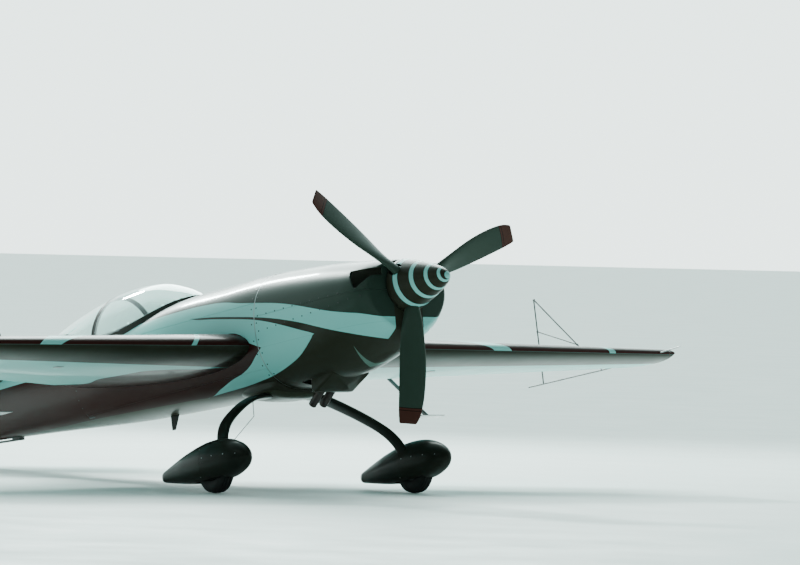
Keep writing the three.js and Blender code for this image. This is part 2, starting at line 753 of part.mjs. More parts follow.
function glazing(above) {
  return bubble(0).subtract(bubble(-GLASS)).subtract(hull(2700, 5300, above + SEAM));
}

function canopyGlass() {
  const front = block(0, CANOPY_REAR - HOOP_WIDTH - SEAM, -FAR, FAR, -FAR, FAR);
  return glazing(CANOPY_RAIL.height).intersect(front);
}

function rearWindow() {
  const rear = block(CANOPY_REAR + RUNNING_GAP, FAR, -FAR, FAR, -FAR, FAR);
  return glazing(0).intersect(rear);
}

function spinner(grow) {
  const points = SPINNER_PROFILE.map(([station, radius]) => new THREE.Vector2(radius && radius + grow, -station));
  points.push(new THREE.Vector2(0, -SPINNER_PROFILE.at(-1)[0]));
  const cap = new THREE.LatheGeometry(points, SPINNER_SIDES);
  cap.rotateZ(-Math.PI / 2);
  const form = solid(cap);
  return form.volume() < 0 ? solid(turnedInsideOut(cap)) : form;
}

// One blade standing up the z axis; the leading edge leads to the right and forward
function bladeForm() {
  const slope = Math.tan(THREE.MathUtils.degToRad(PROPELLER.pitchAtThreeQuarters)) * 0.75 * PROPELLER.radius;
  const rings = spread(BLADE[0][0], PROPELLER.radius, BLADE_RING.step).map((radius) => {
    const row = sample(BLADE_COLUMNS, BLADE, radius);
    const pitch = Math.atan(slope / Math.max(radius, PROPELLER.pitchedFrom));
    const ring = [];
    for (let i = 0; i < BLADE_RING.sides; i++) {
      const angle = i / BLADE_RING.sides * 2 * Math.PI;
      const along = row.chord / 2 * Math.cos(angle) + row.sweep;
      const through = row.thickness / 2 * Math.sin(angle) * (1 + BLADE_RING.fullness * Math.cos(angle));
      ring.push([
        -PROPELLER.station + along * Math.sin(pitch) + through * Math.cos(pitch),
        -along * Math.cos(pitch) + through * Math.sin(pitch),
        radius,
      ]);
    }
    return ring;
  });
  return loft(rings);
}

function backplate(grow) {
  const depth = BACKPLATE.rear - BACKPLATE.front + 2 * grow;
  const middle = -(BACKPLATE.rear + BACKPLATE.front) / 2;
  return bar(BACKPLATE.radius + grow, depth, 'x', middle, 0, 0, SPINNER_SIDES);
}

function blade(number) {
  const form = bladeForm();
  form.rotateX(THREE.MathUtils.degToRad(PROPELLER.firstBlade - 360 / PROPELLER.blades * number));
  return solid(form).subtract(spinner(SEAM)).subtract(backplate(SEAM));
}

// Gear bow: one composite spring from wheel to wheel under the belly
function gearSpring(grow) {
  const path = new THREE.CatmullRomCurve3(LEG.map(([, span, height]) => new THREE.Vector3(0, span, height)));
  const half = [];
  for (let i = 0; i <= LEG_RING.steps; i++) {
    const part = i / LEG_RING.steps;
    const point = path.getPoint(part);
    const along = path.getTangent(part);
    const row = sample(LEG_COLUMNS, LEG, part * (LEG.length - 1));
    const ring = [];
    for (let k = 0; k < LEG_RING.sides; k++) {
      const angle = k / LEG_RING.sides * 2 * Math.PI;
      const fore = (row.chord / 2 + grow) * signedPower(Math.cos(angle), LEG_RING.power);
      const out = (row.thickness / 2 + grow) * signedPower(Math.sin(angle), LEG_RING.power);
      ring.push([-row.station + fore, point.y - out * along.z, point.z + out * along.y]);
    }
    half.push(ring);
  }
  half[0].forEach((point) => { point[1] = 0; });
  half.at(-1).forEach((point) => { point[2] -= grow; });
  const left = loft(half);
  return solid(left).add(solid(mirrored(left)));
}

// Turns a distance aft of the spinner tip and a height over the ground into airframe axes
function fromGround(aft, height) {
  const drop = SPINNER_HEIGHT - height;
  return [
    aft * Math.cos(ATTITUDE) + drop * Math.sin(ATTITUDE),
    aft * Math.sin(ATTITUDE) - drop * Math.cos(ATTITUDE),
  ];
}

function wheelCentre() {
  const [station, height] = fromGround(WHEEL.aft, WHEEL.radius);
  return { station, height, span: WHEEL.track / 2 };
}

function leftFairing() {
  const wheel = wheelCentre();
  const { step, sides, waist, upper, lower } = FAIRING_RING;
  const form = loft(spread(FAIRING[0][0], FAIRING.at(-1)[0], step).map((station) => {
    const row = sample(FAIRING_COLUMNS, FAIRING, station);
    const section = { ...row, waist: THREE.MathUtils.lerp(row.top, row.bottom, waist), upper, lower };
    return sectionRing(section, 0, sides).map(([x, y, z]) => [x, y + wheel.span, z]);
  }));
  const { radius, half } = WHEEL_WELL;
  const well = bar(radius, 2 * half, 'y', -wheel.station, wheel.span, wheel.height, 40);
  return solid(form).subtract(well).subtract(gearSpring(SEAM));
}

function lathe(profile, sides) {
  const points = profile.map(([radius, along]) => new THREE.Vector2(radius, along));
  const shape = new THREE.LatheGeometry(points, sides);
  const form = solid(shape);
  return form.volume() < 0 ? solid(turnedInsideOut(shape)) : form;
}

// Profiles turn about the y axis, through the wheel's centre; each is drawn on one side and mirrored
function bothSides(half) {
  const other = half.filter(([, along]) => along !== 0).reverse().map(([radius, along]) => [radius, -along]);
  return [...half, ...other, half[0]];
}

function tyreProfile(inner, outer, width) {
  const shoulder = outer - (outer - inner) * 0.28;
  return bothSides([
    [inner, -width * 0.36],
    [shoulder - 28, -width * 0.5],
    [shoulder, -width * 0.47],
    [outer - 5, -width * 0.3],
    [outer, 0],
  ]);
}

function rimProfile(bore, outer, width) {
  const hub = bore + 22;
  const web = width * 0.12;
  return bothSides([
    [bore, -width * 0.42],
    [hub, -width * 0.42],
    [hub + 4, -web],
    [outer - 12, -web],
    [outer - 8, -width * 0.36],
    [outer, -width * 0.36],
  ]);
}

function leftAxle() {
  const wheel = wheelCentre();
  const foot = sample(LEG_COLUMNS, LEG, LEG.length - 1);
  const start = foot.span + foot.thickness / 2 + SEAM;
  const end = wheel.span + WHEEL.width * 0.42 + 14;
  const nut = bar(27, 10, 'y', -wheel.station, end - 5, wheel.height, 6);
  const flange = bar(36, 6, 'y', -wheel.station, start + 3, wheel.height);
  const shaft = bar(WHEEL.axle, end - start, 'y', -wheel.station, (start + end) / 2, wheel.height, 20);
  return shaft.add(nut).add(flange).subtract(gearSpring(SEAM));
}

// Tail gear pieces, in ground axes
function tailFork() {
  const { pivotAft, crownBottom, crownTop, half, plate, length, kingpin } = TAIL_FORK;
  const crown = block(pivotAft - 22, pivotAft - 22 + length, -half, half, crownBottom, crownTop);
  const cheek = (inner, outer) => block(
    TAIL_WHEEL.aft - 16, TAIL_WHEEL.aft + 3, inner, outer, TAIL_WHEEL.radius - 14, crownBottom + 1,
  );
  const axle = bar(TAIL_WHEEL.pin, 2 * half + 6, 'y', -TAIL_WHEEL.aft, 0, TAIL_WHEEL.radius, 16);
  const pin = bar(kingpin, 30, 'z', -pivotAft, 0, crownTop + 10, 16);
  return crown.add(cheek(half - plate, half)).add(cheek(-half, plate - half)).add(axle).add(pin);
}

// Leaf spring with its clamp block, up against the tail cone
function tailSpring() {
  const { frontAft, frontTop, rearAft, rearTop, thickness, half, clampEnd, clampRise } = TAIL_SPRING;
  const strip = sidePlate([
    fromGround(frontAft, frontTop), fromGround(rearAft, rearTop),
    fromGround(rearAft, rearTop - thickness), fromGround(frontAft, frontTop - thickness),
  ], -half, half);
  const clamp = sidePlate([
    fromGround(frontAft, frontTop - 2), fromGround(frontAft, frontTop + clampRise),
    fromGround(clampEnd, frontTop + clampRise), fromGround(clampEnd, frontTop - 16),
  ], -half, half);
  const axisPoint = (height) => {
    const [station, up] = fromGround(TAIL_FORK.pivotAft, height);
    return [-station, 0, up];
  };
  const pinHole = rod(axisPoint(rearTop - 30), axisPoint(rearTop + 30), TAIL_FORK.kingpin + 1, 16);
  return strip.add(clamp).subtract(hull(TAIL_START, TAIL_END, SEAM)).subtract(pinHole);
}

function seat() {
  return sidePlate(SEAT_SIDE, -SEAT_HALF_WIDTH, SEAT_HALF_WIDTH);
}

function controlStick() {
  const foot = FLOOR.top + SEAM;
  const shaft = bar(STICK.radius, STICK.top - foot, 'z', -STICK.station, 0, (STICK.top + foot) / 2, 14);
  const gripMiddle = STICK.top + STICK.gripLength / 2 - 4;
  const grip = bar(STICK.grip, STICK.gripLength, 'z', -STICK.station, 0, gripMiddle, 14);
  return shaft.add(grip);
}

function bladeAntenna() {
  const { front, rear, seat: base, tip, thickness, rake } = BLADE_ANTENNA;
  const outline = [[front, base], [rear, base], [rear - 10, tip], [rear - rake, tip]];
  return sidePlate(outline, -thickness / 2, thickness / 2).subtract(hull(3000, 4000, SEAM));
}

function whipAntenna() {
  const { station, foot, bend, trail, ball, radius } = WHIP;
  const base = new THREE.SphereGeometry(ball, 12, 8);
  base.translate(-station, 0, foot);
  const upright = rod([-station, 0, foot], [-station, 0, bend], radius, 8);
  const trailing = rod([1 - station, 0, bend + 1], [-trail[0], 0, trail[1]], radius, 8);
  return solid(base).add(upright).add(trailing).subtract(hull(2000, 3000, SEAM));
}

function sightingFrame(grow) {
  const { span, height, start, end, rearFoot, frontFoot, apex, brace } = SIGHT;
  const radius = SIGHT.rod + grow;
  const point = (station, up) => [-station, span, up];
  const top = point(...apex);
  const legPoint = (foot, part) => point(
    THREE.MathUtils.lerp(foot, apex[0], part), THREE.MathUtils.lerp(height, apex[1], part),
  );
  const bars = [
    rod(point(start - grow, height), point(end, height), radius),
    rod(point(rearFoot, height), top, radius),
    rod(point(frontFoot, height), top, radius),
    rod(legPoint(frontFoot, brace[0]), legPoint(rearFoot, brace[1]), radius * 0.8),
  ];
  return bars.reduce((sum, piece) => sum.add(piece));
}

function pitot(grow) {
  const wing = wingAt(PITOT.span);
  const from = [-(wing.lead + PITOT.seat), PITOT.span, wing.height];
  const to = [-(wing.lead - PITOT.reach), PITOT.span, wing.height + 12];
  return rod(from, to, PITOT.radius + grow, 12);
}

// Assembly
const airframe = new THREE.Group();
airframe.rotation.y = -ATTITUDE;
airframe.position.z = SPINNER_HEIGHT;
const ground = new THREE.Group();

function place(group, name, form, material) {
  const mesh = new THREE.Mesh(geometryOf(form), new THREE.MeshStandardMaterial(material));
  mesh.geometry.computeVertexNormals();
  mesh.name = name;
  group.add(mesh);
  return mesh;
}

function placePair(group, name, left, material) {
  place(group, `${name}_left`, left, material);
  place(group, `${name}_right`, solid(mirrored(geometryOf(left))), material);
}

const cowl = cowlForm();
place(airframe, 'cowl_upper', cowl.intersect(block(0, 2500, -FAR, FAR, COWL_SEAM + SEAM, FAR)), DARK_PAINT);
place(airframe, 'cowl_lower', cowl.intersect(block(0, 2500, -FAR, FAR, -FAR, COWL_SEAM)), DARK_PAINT);
place(airframe, 'engine', engine(), STEEL);
const firewallRear = FIREWALL_STATION + FIREWALL_THICKNESS;
place(airframe, 'firewall', hull(FIREWALL_STATION + SEAM, firewallRear - SEAM), ALLOY);
place(airframe, 'exhaust_left', exhaust(1), STEEL);
place(airframe, 'exhaust_right', exhaust(-1), STEEL);

const shell = cockpitShell();
const between = (...bounds) => shell.intersect(block(...bounds));
place(airframe, 'deck_forward', between(0, DECK_SPLIT, -FAR, FAR, UPPER_SEAM + SEAM, FAR), PALE_PAINT);
place(airframe, 'deck_rear', between(DECK_SPLIT, FAR, -FAR, FAR, UPPER_SEAM + SEAM, FAR), PALE_PAINT);
place(airframe, 'side_panel_left', between(0, FAR, 0, FAR, LOWER_SEAM + SEAM, UPPER_SEAM), MAROON_PAINT);
place(airframe, 'side_panel_right', between(0, FAR, -FAR, 0, LOWER_SEAM + SEAM, UPPER_SEAM), MAROON_PAINT);
const bellyFairing = body(BELLY_FAIRING, BELLY_FAIRING.map(([station]) => station), 0, FUSELAGE_SIDES)
  .subtract(hull(1700, 2800, -SKIN / 2));
const belly = between(0, FAR, -FAR, FAR, -FAR, LOWER_SEAM).add(bellyFairing).subtract(gearSpring(SEAM));
place(airframe, 'belly_panel', belly, PALE_PAINT);
place(airframe, 'tail_cone', tailCone(), MAROON_PAINT);

const plainWing = leftWing();
place(airframe, 'wing_left', plainWing.subtract(sightingFrame(SEAM)).subtract(pitot(SEAM)), MAROON_PAINT);
place(airframe, 'wing_right', solid(mirrored(geometryOf(plainWing))), MAROON_PAINT);
const sparBox = block(SPAR.front, SPAR.rear, -FAR, FAR, SPAR.bottom, SPAR.top);
place(airframe, 'wing_spar', sparBox.intersect(hull(2000, 3000)), CARBON);
placePair(airframe, 'aileron', leftAileron(), PALE_PAINT);
placePair(airframe, 'stabilizer', leftStabilizer(), MAROON_PAINT);
place(airframe, 'elevator', elevator(), MAROON_PAINT);
place(airframe, 'fin', fin(), MAROON_PAINT);
place(airframe, 'rudder', rudder(), PALE_PAINT);

place(airframe, 'canopy_frame', canopyFrame(), CARBON);
place(airframe, 'canopy_glass', canopyGlass(), GLASS_TINT);
place(airframe, 'rear_window', rearWindow(), GLASS_TINT);
const floorSlab = block(FLOOR.front, FLOOR.rear, -FAR, FAR, FLOOR.top - FLOOR.thickness, FLOOR.top);
place(airframe, 'cockpit_floor', insideOfSkin(1800, 4300).intersect(floorSlab), CARBON);
const panelSlab = block(PANEL.front, PANEL.front + PANEL.thickness, -FAR, FAR, PANEL.bottom, FAR);
place(airframe, 'instrument_panel', insideOfSkin(2600, 3200).intersect(panelSlab), CARBON);
place(airframe, 'seat', seat(), CLOTH);
place(airframe, 'control_stick', controlStick(), CARBON);

place(airframe, 'spinner', spinner(0), DARK_PAINT);
place(airframe, 'spinner_backplate', backplate(0), ALLOY);
for (let number = 0; number < PROPELLER.blades; number++) {
  place(airframe, `propeller_blade_${number + 1}`, blade(number), CARBON);
}

const gearBow = gearSpring(0).subtract(hull(1500, 3000, SEAM));
place(airframe, 'gear_spring', gearBow, CARBON);
placePair(airframe, 'wheel_fairing', leftFairing(), DARK_PAINT);
placePair(airframe, 'axle', leftAxle(), STEEL);
const wheelAt = wheelCentre();
for (const [name, side] of [['left', 1], ['right', -1]]) {
  const hub = new THREE.Group();
  hub.position.set(-wheelAt.station, side * wheelAt.span, wheelAt.height);
  airframe.add(hub);
  const { bore, rim, radius, width, sides } = WHEEL;
  place(hub, `tyre_${name}`, lathe(tyreProfile(rim + SEAM, radius, width), sides), RUBBER);
  place(hub, `wheel_rim_${name}`, lathe(rimProfile(bore, rim, width), sides), ALLOY);
}

place(airframe, 'blade_antenna', bladeAntenna(), DARK_PAINT);
place(airframe, 'whip_antenna', whipAntenna(), STEEL);
place(airframe, 'sighting_frame', sightingFrame(0), CARBON);
place(airframe, 'pitot_tube', pitot(0), ALLOY);

place(airframe, 'tail_spring', tailSpring(), STEEL);
place(ground, 'tail_fork', tailFork(), STEEL);
const tailHub = new THREE.Group();
tailHub.position.set(-TAIL_WHEEL.aft, 0, TAIL_WHEEL.radius);
ground.add(tailHub);
const tailProfile = rimProfile(TAIL_WHEEL.bore, TAIL_WHEEL.radius, TAIL_WHEEL.width);
place(tailHub, 'tail_wheel', lathe(tailProfile, TAIL_WHEEL.sides), RUBBER);

// The origin is on the ground, midway between the spinner tip and the rudder
const aircraft = new THREE.Group();
aircraft.add(airframe, ground);
const size = new THREE.Box3().setFromObject(aircraft, true);
aircraft.position.x = -(size.min.x + size.max.x) / 2;
aircraft.updateMatrixWorld(true);

export default aircraft;
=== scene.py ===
"""Single-seat aerobatic monoplane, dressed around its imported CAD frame.

Everything is drawn level, in body axes and millimetres: stations run aft from the spinner
tip, spans to the left wing tip and heights up from the thrust line, as in the CAD source.
A piece is tipped nose-up into the row frame, in metres, when it is handed over.
"""

from __future__ import annotations

import logging
import math
from dataclasses import dataclass, field
from enum import Enum
from typing import Callable, Sequence

import bpy
from mathutils import Matrix, Vector
from mathutils.bvhtree import BVHTree


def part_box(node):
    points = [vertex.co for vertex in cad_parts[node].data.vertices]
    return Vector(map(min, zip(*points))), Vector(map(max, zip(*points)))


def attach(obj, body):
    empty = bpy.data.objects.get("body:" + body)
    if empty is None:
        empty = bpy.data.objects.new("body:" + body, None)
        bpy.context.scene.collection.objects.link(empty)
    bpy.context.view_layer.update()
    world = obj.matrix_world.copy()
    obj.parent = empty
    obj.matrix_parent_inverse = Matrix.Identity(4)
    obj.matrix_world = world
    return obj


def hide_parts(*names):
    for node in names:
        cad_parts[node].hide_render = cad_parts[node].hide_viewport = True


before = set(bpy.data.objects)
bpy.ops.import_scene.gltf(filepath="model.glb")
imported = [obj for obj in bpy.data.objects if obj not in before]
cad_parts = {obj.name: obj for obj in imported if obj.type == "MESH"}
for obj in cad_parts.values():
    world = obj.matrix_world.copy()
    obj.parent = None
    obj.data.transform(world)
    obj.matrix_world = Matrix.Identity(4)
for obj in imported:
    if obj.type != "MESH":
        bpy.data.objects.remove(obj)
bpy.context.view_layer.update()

log = logging.getLogger("monoplane")

Point = tuple[float, float, float]
Table = tuple[tuple[float, ...], ...]
Piece = bpy.types.Object
Socket = bpy.types.NodeSocket

MM = 0.001
FAR = 9000.0
ATTITUDE = math.radians(10.31)
SPINNER_HEIGHT = 1.597
TIP_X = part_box("spinner")[1].x
BODY_TO_ROW = Matrix.Translation((TIP_X, 0, SPINNER_HEIGHT)) @ Matrix.Rotation(-ATTITUDE, 4, "Y")
GROUND_TO_ROW = Matrix.Translation((TIP_X, 0, 0))
PANEL_GAP = 2.0


class Body(Enum):
    """The CAD bodies that a piece can ride on."""

    AIRFRAME = "root"
    PROPELLER = "propeller"
    WHEEL_LEFT = "wheel_left"
    WHEEL_RIGHT = "wheel_right"
    TAIL_SWIVEL = "tail_swivel"
    TAIL_WHEEL = "tail_wheel"
    AILERON_LEFT = "aileron_left"
    AILERON_RIGHT = "aileron_right"
    ELEVATOR = "elevator"
    RUDDER = "rudder"
    CANOPY = "canopy"


class Side(Enum):
    """A side of the aircraft, with the sign of its span."""

    LEFT = 1
    RIGHT = -1

    @property
    def word(self) -> str:
        """The side's name, as it ends a node's name."""
        return self.name.lower()


# Shapes


def select_only(*pieces: Piece) -> None:
    """Makes these objects the whole selection, and the first one active."""
    if bpy.context.object and bpy.context.object.mode != "OBJECT":
        bpy.ops.object.mode_set(mode="OBJECT")
    bpy.ops.object.select_all(action="DESELECT")
    for piece in pieces:
        piece.select_set(True)
    bpy.context.view_layer.objects.active = pieces[0]


def read_table(rows: Table, at: float) -> tuple[float, ...]:
    """Reads a table at any value of its first column, smoothly between the rows.

    Args:
        rows: Rows of numbers, with rising first numbers.
        at: The value of the first column.

    Returns:
        The other columns at that value.
    """
    last = len(rows) - 1
    found = next((i for i, row in enumerate(rows) if row[0] >= at), last)
    k = min(max(found - 1, 0), last - 1)
    before, start, end, after = (rows[min(max(i, 0), last)] for i in (k - 1, k, k + 1, k + 2))
    step = end[0] - start[0]
    t = (at - start[0]) / step
    values = []
    for c in range(1, len(start)):
        slope_in = (end[c] - before[c]) / (end[0] - before[0]) * step
        slope_out = (after[c] - start[c]) / (after[0] - start[0]) * step
        values.append(
            start[c] * (1 + 2 * t) * (1 - t) ** 2 + slope_in * t * (1 - t) ** 2
            + end[c] * t * t * (3 - 2 * t) + slope_out * t * t * (t - 1)
        )
    return tuple(values)


def signed_power(value: float, power: float) -> float:
    """Raises a number's size to a power and keeps its sign."""
    return math.copysign(abs(value) ** power, value)


def spread(start: float, end: float, step: float) -> list[float]:
    """Evenly spaced values from start to end, about a step apart."""
    count = max(1, round((end - start) / step))
    return [start + (end - start) * i / count for i in range(count + 1)]


def full_turn(count: int) -> list[float]:
    """Angles evenly spaced round one turn."""
    return [2 * math.pi * i / count for i in range(count)]


def from_ground(aft: float, height: float) -> tuple[float, float]:
    """A place measured level on the ground, in the aircraft's own axes.

    Args:
        aft: Level distance behind the spinner's tip.
        height: Height over the ground.

    Returns:
        Its station and its height.
    """
    drop = SPINNER_HEIGHT / MM - height
    return (
        aft * math.cos(ATTITUDE) + drop * math.sin(ATTITUDE),
        aft * math.sin(ATTITUDE) - drop * math.cos(ATTITUDE),
    )


def fresh(add: Callable[..., object], **sizes: object) -> Piece:
    """Adds a primitive with nothing else selected.

    Args:
        add: The operator that adds it.
        **sizes: The operator's settings.

    Returns:
        The new object.
    """
    bpy.ops.object.select_all(action="DESELECT")
    add(**sizes)
    return bpy.context.active_object


def face_outwards(piece: Piece) -> None:
    """Turns all the faces of a closed mesh to point outwards.

    Args:
        piece: The closed piece.
    """
    select_only(piece)
    bpy.ops.object.mode_set(mode="EDIT")
    bpy.ops.mesh.select_all(action="SELECT")
    bpy.ops.mesh.normals_make_consistent(inside=False)
    bpy.ops.object.mode_set(mode="OBJECT")


def loft(name: str, rings: Sequence[Sequence[Point]]) -> Piece:
    """Moulds a sphere over rings of points, closed at both ends.

    Args:
        name: The new object's name.
        rings: Rings with the same number of points, in millimetres.

    Returns:
        The closed form.
    """
    around, along = len(rings[0]), len(rings) + 1
    piece = fresh(bpy.ops.mesh.primitive_uv_sphere_add, segments=around, ring_count=along, radius=1)
    piece.name = name
    ends = [[sum(p[axis] for p in ring) / around for axis in range(3)] for ring in (rings[0], rings[-1])]
    for vertex in piece.data.vertices:
        k = round(math.acos(max(-1.0, min(1.0, vertex.co.z))) / math.pi * along)
        if k in (0, along):
            vertex.co = Vector(ends[0 if k == 0 else 1]) * MM
            continue
        i = round(math.atan2(vertex.co.y, vertex.co.x) / (2 * math.pi) * around) % around
        vertex.co = Vector(rings[k - 1][i]) * MM
    face_outwards(piece)
    return piece


def hoop(name: str, rings: Sequence[Sequence[Point]]) -> Piece:
    """Moulds a torus over rings of points that run round and meet their start.

    Args:
        name: The new object's name.
        rings: Rings with the same number of points, in millimetres, in order.

    Returns:
        The closed ring-shaped form.
    """
    around, along = len(rings[0]), len(rings)
    piece = fresh(
        bpy.ops.mesh.primitive_torus_add, major_segments=along, minor_segments=around, major_radius=2,
        minor_radius=1,
    )
    piece.name = name
    for vertex in piece.data.vertices:
        x, y, z = vertex.co
        k = round(math.atan2(y, x) / (2 * math.pi) * along) % along
        i = round(math.atan2(z, math.hypot(x, y) - 2) / (2 * math.pi) * around) % around
        vertex.co = Vector(rings[k][i]) * MM
    face_outwards(piece)
    return piece


def turned(name: str, profile: Sequence[tuple[float, float]], sides: int, centre: Point, axis: str) -> Piece:
    """Turns a closed profile about an axis, as on a lathe.

    Args:
        name: The new object's name.
        profile: Points of [radius, distance along the axis]; the last joins the first.
        sides: Number of facets round the axis.
        centre: The point that distances along the axis start from.
        axis: The axis, "x", "y" or "z".

    Returns:
        The ring, which has a hole along its axis.
    """
    rings = []
    for angle in full_turn(sides):
        ring = []
        for radius, along in profile:
            u, v = radius * math.cos(angle), radius * math.sin(angle)
            offset = {"x": (along, u, v), "y": (v, along, u), "z": (u, v, along)}[axis]
            ring.append(tuple(c + o for c, o in zip(centre, offset)))
        rings.append(ring)
    return hoop(name, rings)


def block(front: float, rear: float, right: float, left: float, bottom: float, top: float) -> Piece:
    """A box between two stations, two spans and two heights.

    Args:
        front: Its front station.
        rear: Its rear station.
        right: Span of its right face.
        left: Span of its left face.
        bottom: Height of its bottom.
        top: Height of its top.

    Returns:
        The box.
    """
    piece = fresh(bpy.ops.mesh.primitive_cube_add, size=1)
    for vertex in piece.data.vertices:
        x, y, z = vertex.co
        vertex.co = Vector((
            -(front if x > 0 else rear), left if y > 0 else right, top if z > 0 else bottom,
        )) * MM
    return piece


def bar(
    name: str, start: Point, end: Point, radius: float, sides: int = 24, tip: float | None = None,
) -> Piece:
    """A round bar between two points in body axes, given as x forward, span and height.

    Args:
        name: The new object's name.
        start: One end of its centre line, in millimetres.
        end: The other end.
        radius: Its radius at the start.
        sides: Number of facets.
        tip: Its radius at the end, where it tapers.

    Returns:
        The bar, with flat ends.
    """
    return loft(name, tube_rings([start, end], [radius, radius if tip is None else tip], sides))


def tube_rings(path: Sequence[Point], radii: Sequence[float], sides: int) -> list[list[Point]]:
    """Rings square to a path, which turn no more than the path does.

    Args:
        path: Points of the centre line.
        radii: The radius at each point.
        sides: Points in a ring.

    Returns:
        One ring for each point of the path.
    """
    points = [Vector(p) for p in path]
    ahead = [
        (points[min(i + 1, len(points) - 1)] - points[max(i - 1, 0)]).normalized() for i in range(len(points))
    ]
    across = ahead[0].orthogonal().normalized()
    rings = []
    for point, along, radius in zip(points, ahead, radii):
        across = (across - along * across.dot(along)).normalized()
        other = along.cross(across)
        rings.append([
            tuple(point + (across * math.cos(a) + other * math.sin(a)) * radius)
            for a in full_turn(sides)
        ])
    return rings


def smooth_path(points: Sequence[Point], count: int) -> list[Point]:
    """Points along a smooth line through a few given ones."""
    rows = tuple((float(i), *p) for i, p in enumerate(points))
    return [read_table(rows, t) for t in spread(0, len(points) - 1, (len(points) - 1) / count)]


def plate(
    name: str, outline: Sequence[tuple[float, float]], right: float, left: float, round_by: float = 0.0,
) -> Piece:
    """Extrudes a side outline to a width and rounds its edges.

    Args:
        name: The new object's name.
        outline: Points of [station, height], in millimetres.
        right: Span of the right face.
        left: Span of the left face.
        round_by: Width of the rounded edges.

    Returns:
        The plate.
    """
    piece = fresh(
        bpy.ops.mesh.primitive_circle_add, vertices=len(outline), radius=1, fill_type="NGON",
    )
    piece.name = name
    for vertex in piece.data.vertices:
        i = round(math.atan2(vertex.co.y, vertex.co.x) / (2 * math.pi) * len(outline)) % len(outline)
        station, height = outline[i]
        vertex.co = Vector((-station, right, height)) * MM
    bpy.ops.object.mode_set(mode="EDIT")
    bpy.ops.mesh.select_all(action="SELECT")
    bpy.ops.mesh.extrude_region_move(TRANSFORM_OT_translate={"value": (0, (left - right) * MM, 0)})
    bpy.ops.object.mode_set(mode="OBJECT")
    face_outwards(piece)
    if round_by:
        soften(piece, round_by)
    return piece


def soften(piece: Piece, width: float, segments: int = 2, angle: float = 35) -> None:
    """Rounds the sharp edges of a piece with an applied bevel.

    Args:
        piece: The piece.
        width: Width of the bevel.
        segments: Its segments.
        angle: Edges sharper than this angle, in degrees, are rounded.
    """
    modifier = piece.modifiers.new("Rounding", "BEVEL")
    modifier.width = width * MM
    modifier.segments = segments
    modifier.limit_method = "ANGLE"
    modifier.angle_limit = math.radians(angle)
    select_only(piece)
    bpy.ops.object.modifier_apply(modifier=modifier.name)


def work(piece: Piece, operation: str, *tools: Piece, keep: bool = False) -> Piece:
    """Joins, cuts or trims a closed piece by others.

    Args:
        piece: The piece that changes.
        operation: UNION, DIFFERENCE or INTERSECT.
        tools: The other closed forms.
        keep: Whether the tools stay for later use.

    Returns:
        The changed piece.
    """
    for tool in tools:
        modifier = piece.modifiers.new("Work", "BOOLEAN")
        modifier.operation = operation
        modifier.solver = "MANIFOLD"
        modifier.object = tool
        select_only(piece)
        bpy.ops.object.modifier_apply(modifier=modifier.name)
        if not keep:
            bpy.data.objects.remove(tool)
    return piece


def copy_of(piece: Piece, name: str) -> Piece:
    """A copy of a piece with its own mesh.

    Args:
        piece: The piece.
        name: The copy's name.

    Returns:
        The copy.
    """
    select_only(piece)
    bpy.ops.object.duplicate()
    twin = bpy.context.active_object
    twin.name = name
    return twin


def on_side(piece: Piece, side: Side) -> Piece:
    """The piece itself on the left, or its mirrored form on the right.

    Args:
        piece: A piece of the left side.
        side: The side it's wanted on.

    Returns:
        The same piece.
    """
    if side is Side.RIGHT:
        piece.data.transform(Matrix.Scale(-1, 4, (0, 1, 0)))
        piece.data.flip_normals()
    return piece


def joined(name: str, pieces: Sequence[Piece]) -> Piece:
    """One object of several, under the first one's place.

    Args:
        name: The object's name.
        pieces: The pieces, which become one.

    Returns:
        The one object.
    """
    select_only(*pieces)
    if len(pieces) > 1:
        bpy.ops.object.join()
    piece = bpy.context.active_object
    piece.name = name
    return piece


def take_gloss(piece: Piece, form: Piece, near: float = 0.4) -> None:
    """Gives the faces that lie on a smooth form that form's own normals, and the rest slot 2.

    Args:
        piece: The cut piece, with faces of the form among its own.
        form: The whole form that it was cut from.
        near: How close to the form a face lies, in millimetres.
    """
    source = form.data
    source.calc_loop_triangles()
    corners = [v.co for v in source.vertices]
    slopes = [v.normal for v in source.vertices]
    faces = [tuple(t.vertices) for t in source.loop_triangles]
    tree = BVHTree.FromPolygons(corners, faces)
    found: dict[int, tuple[Vector, Vector] | None] = {}
    mesh = piece.data
    for vertex in mesh.vertices:
        place, flat, index, _ = tree.find_nearest(vertex.co, near * MM)
        if index is None:
            found[vertex.index] = None
            continue
        tri = faces[index]
        weights = [1 / max((corners[v] - place).length, 1e-7) for v in tri]
        normal = sum((slopes[v] * w for v, w in zip(tri, weights)), Vector()).normalized()
        found[vertex.index] = (normal, flat)
    normals = [Vector()] * len(mesh.loops)
    for face in mesh.polygons:
        face.use_smooth = True
        hits = [found[v] for v in face.vertices]
        outer = all(hit is not None and hit[1].dot(face.normal) > 0.7 for hit in hits)
        face.material_index = 0 if outer else 1
        if outer:
            for loop in face.loop_indices:
                normals[loop] = found[mesh.loops[loop].vertex_index][0]
    mesh.normals_split_custom_set(normals)


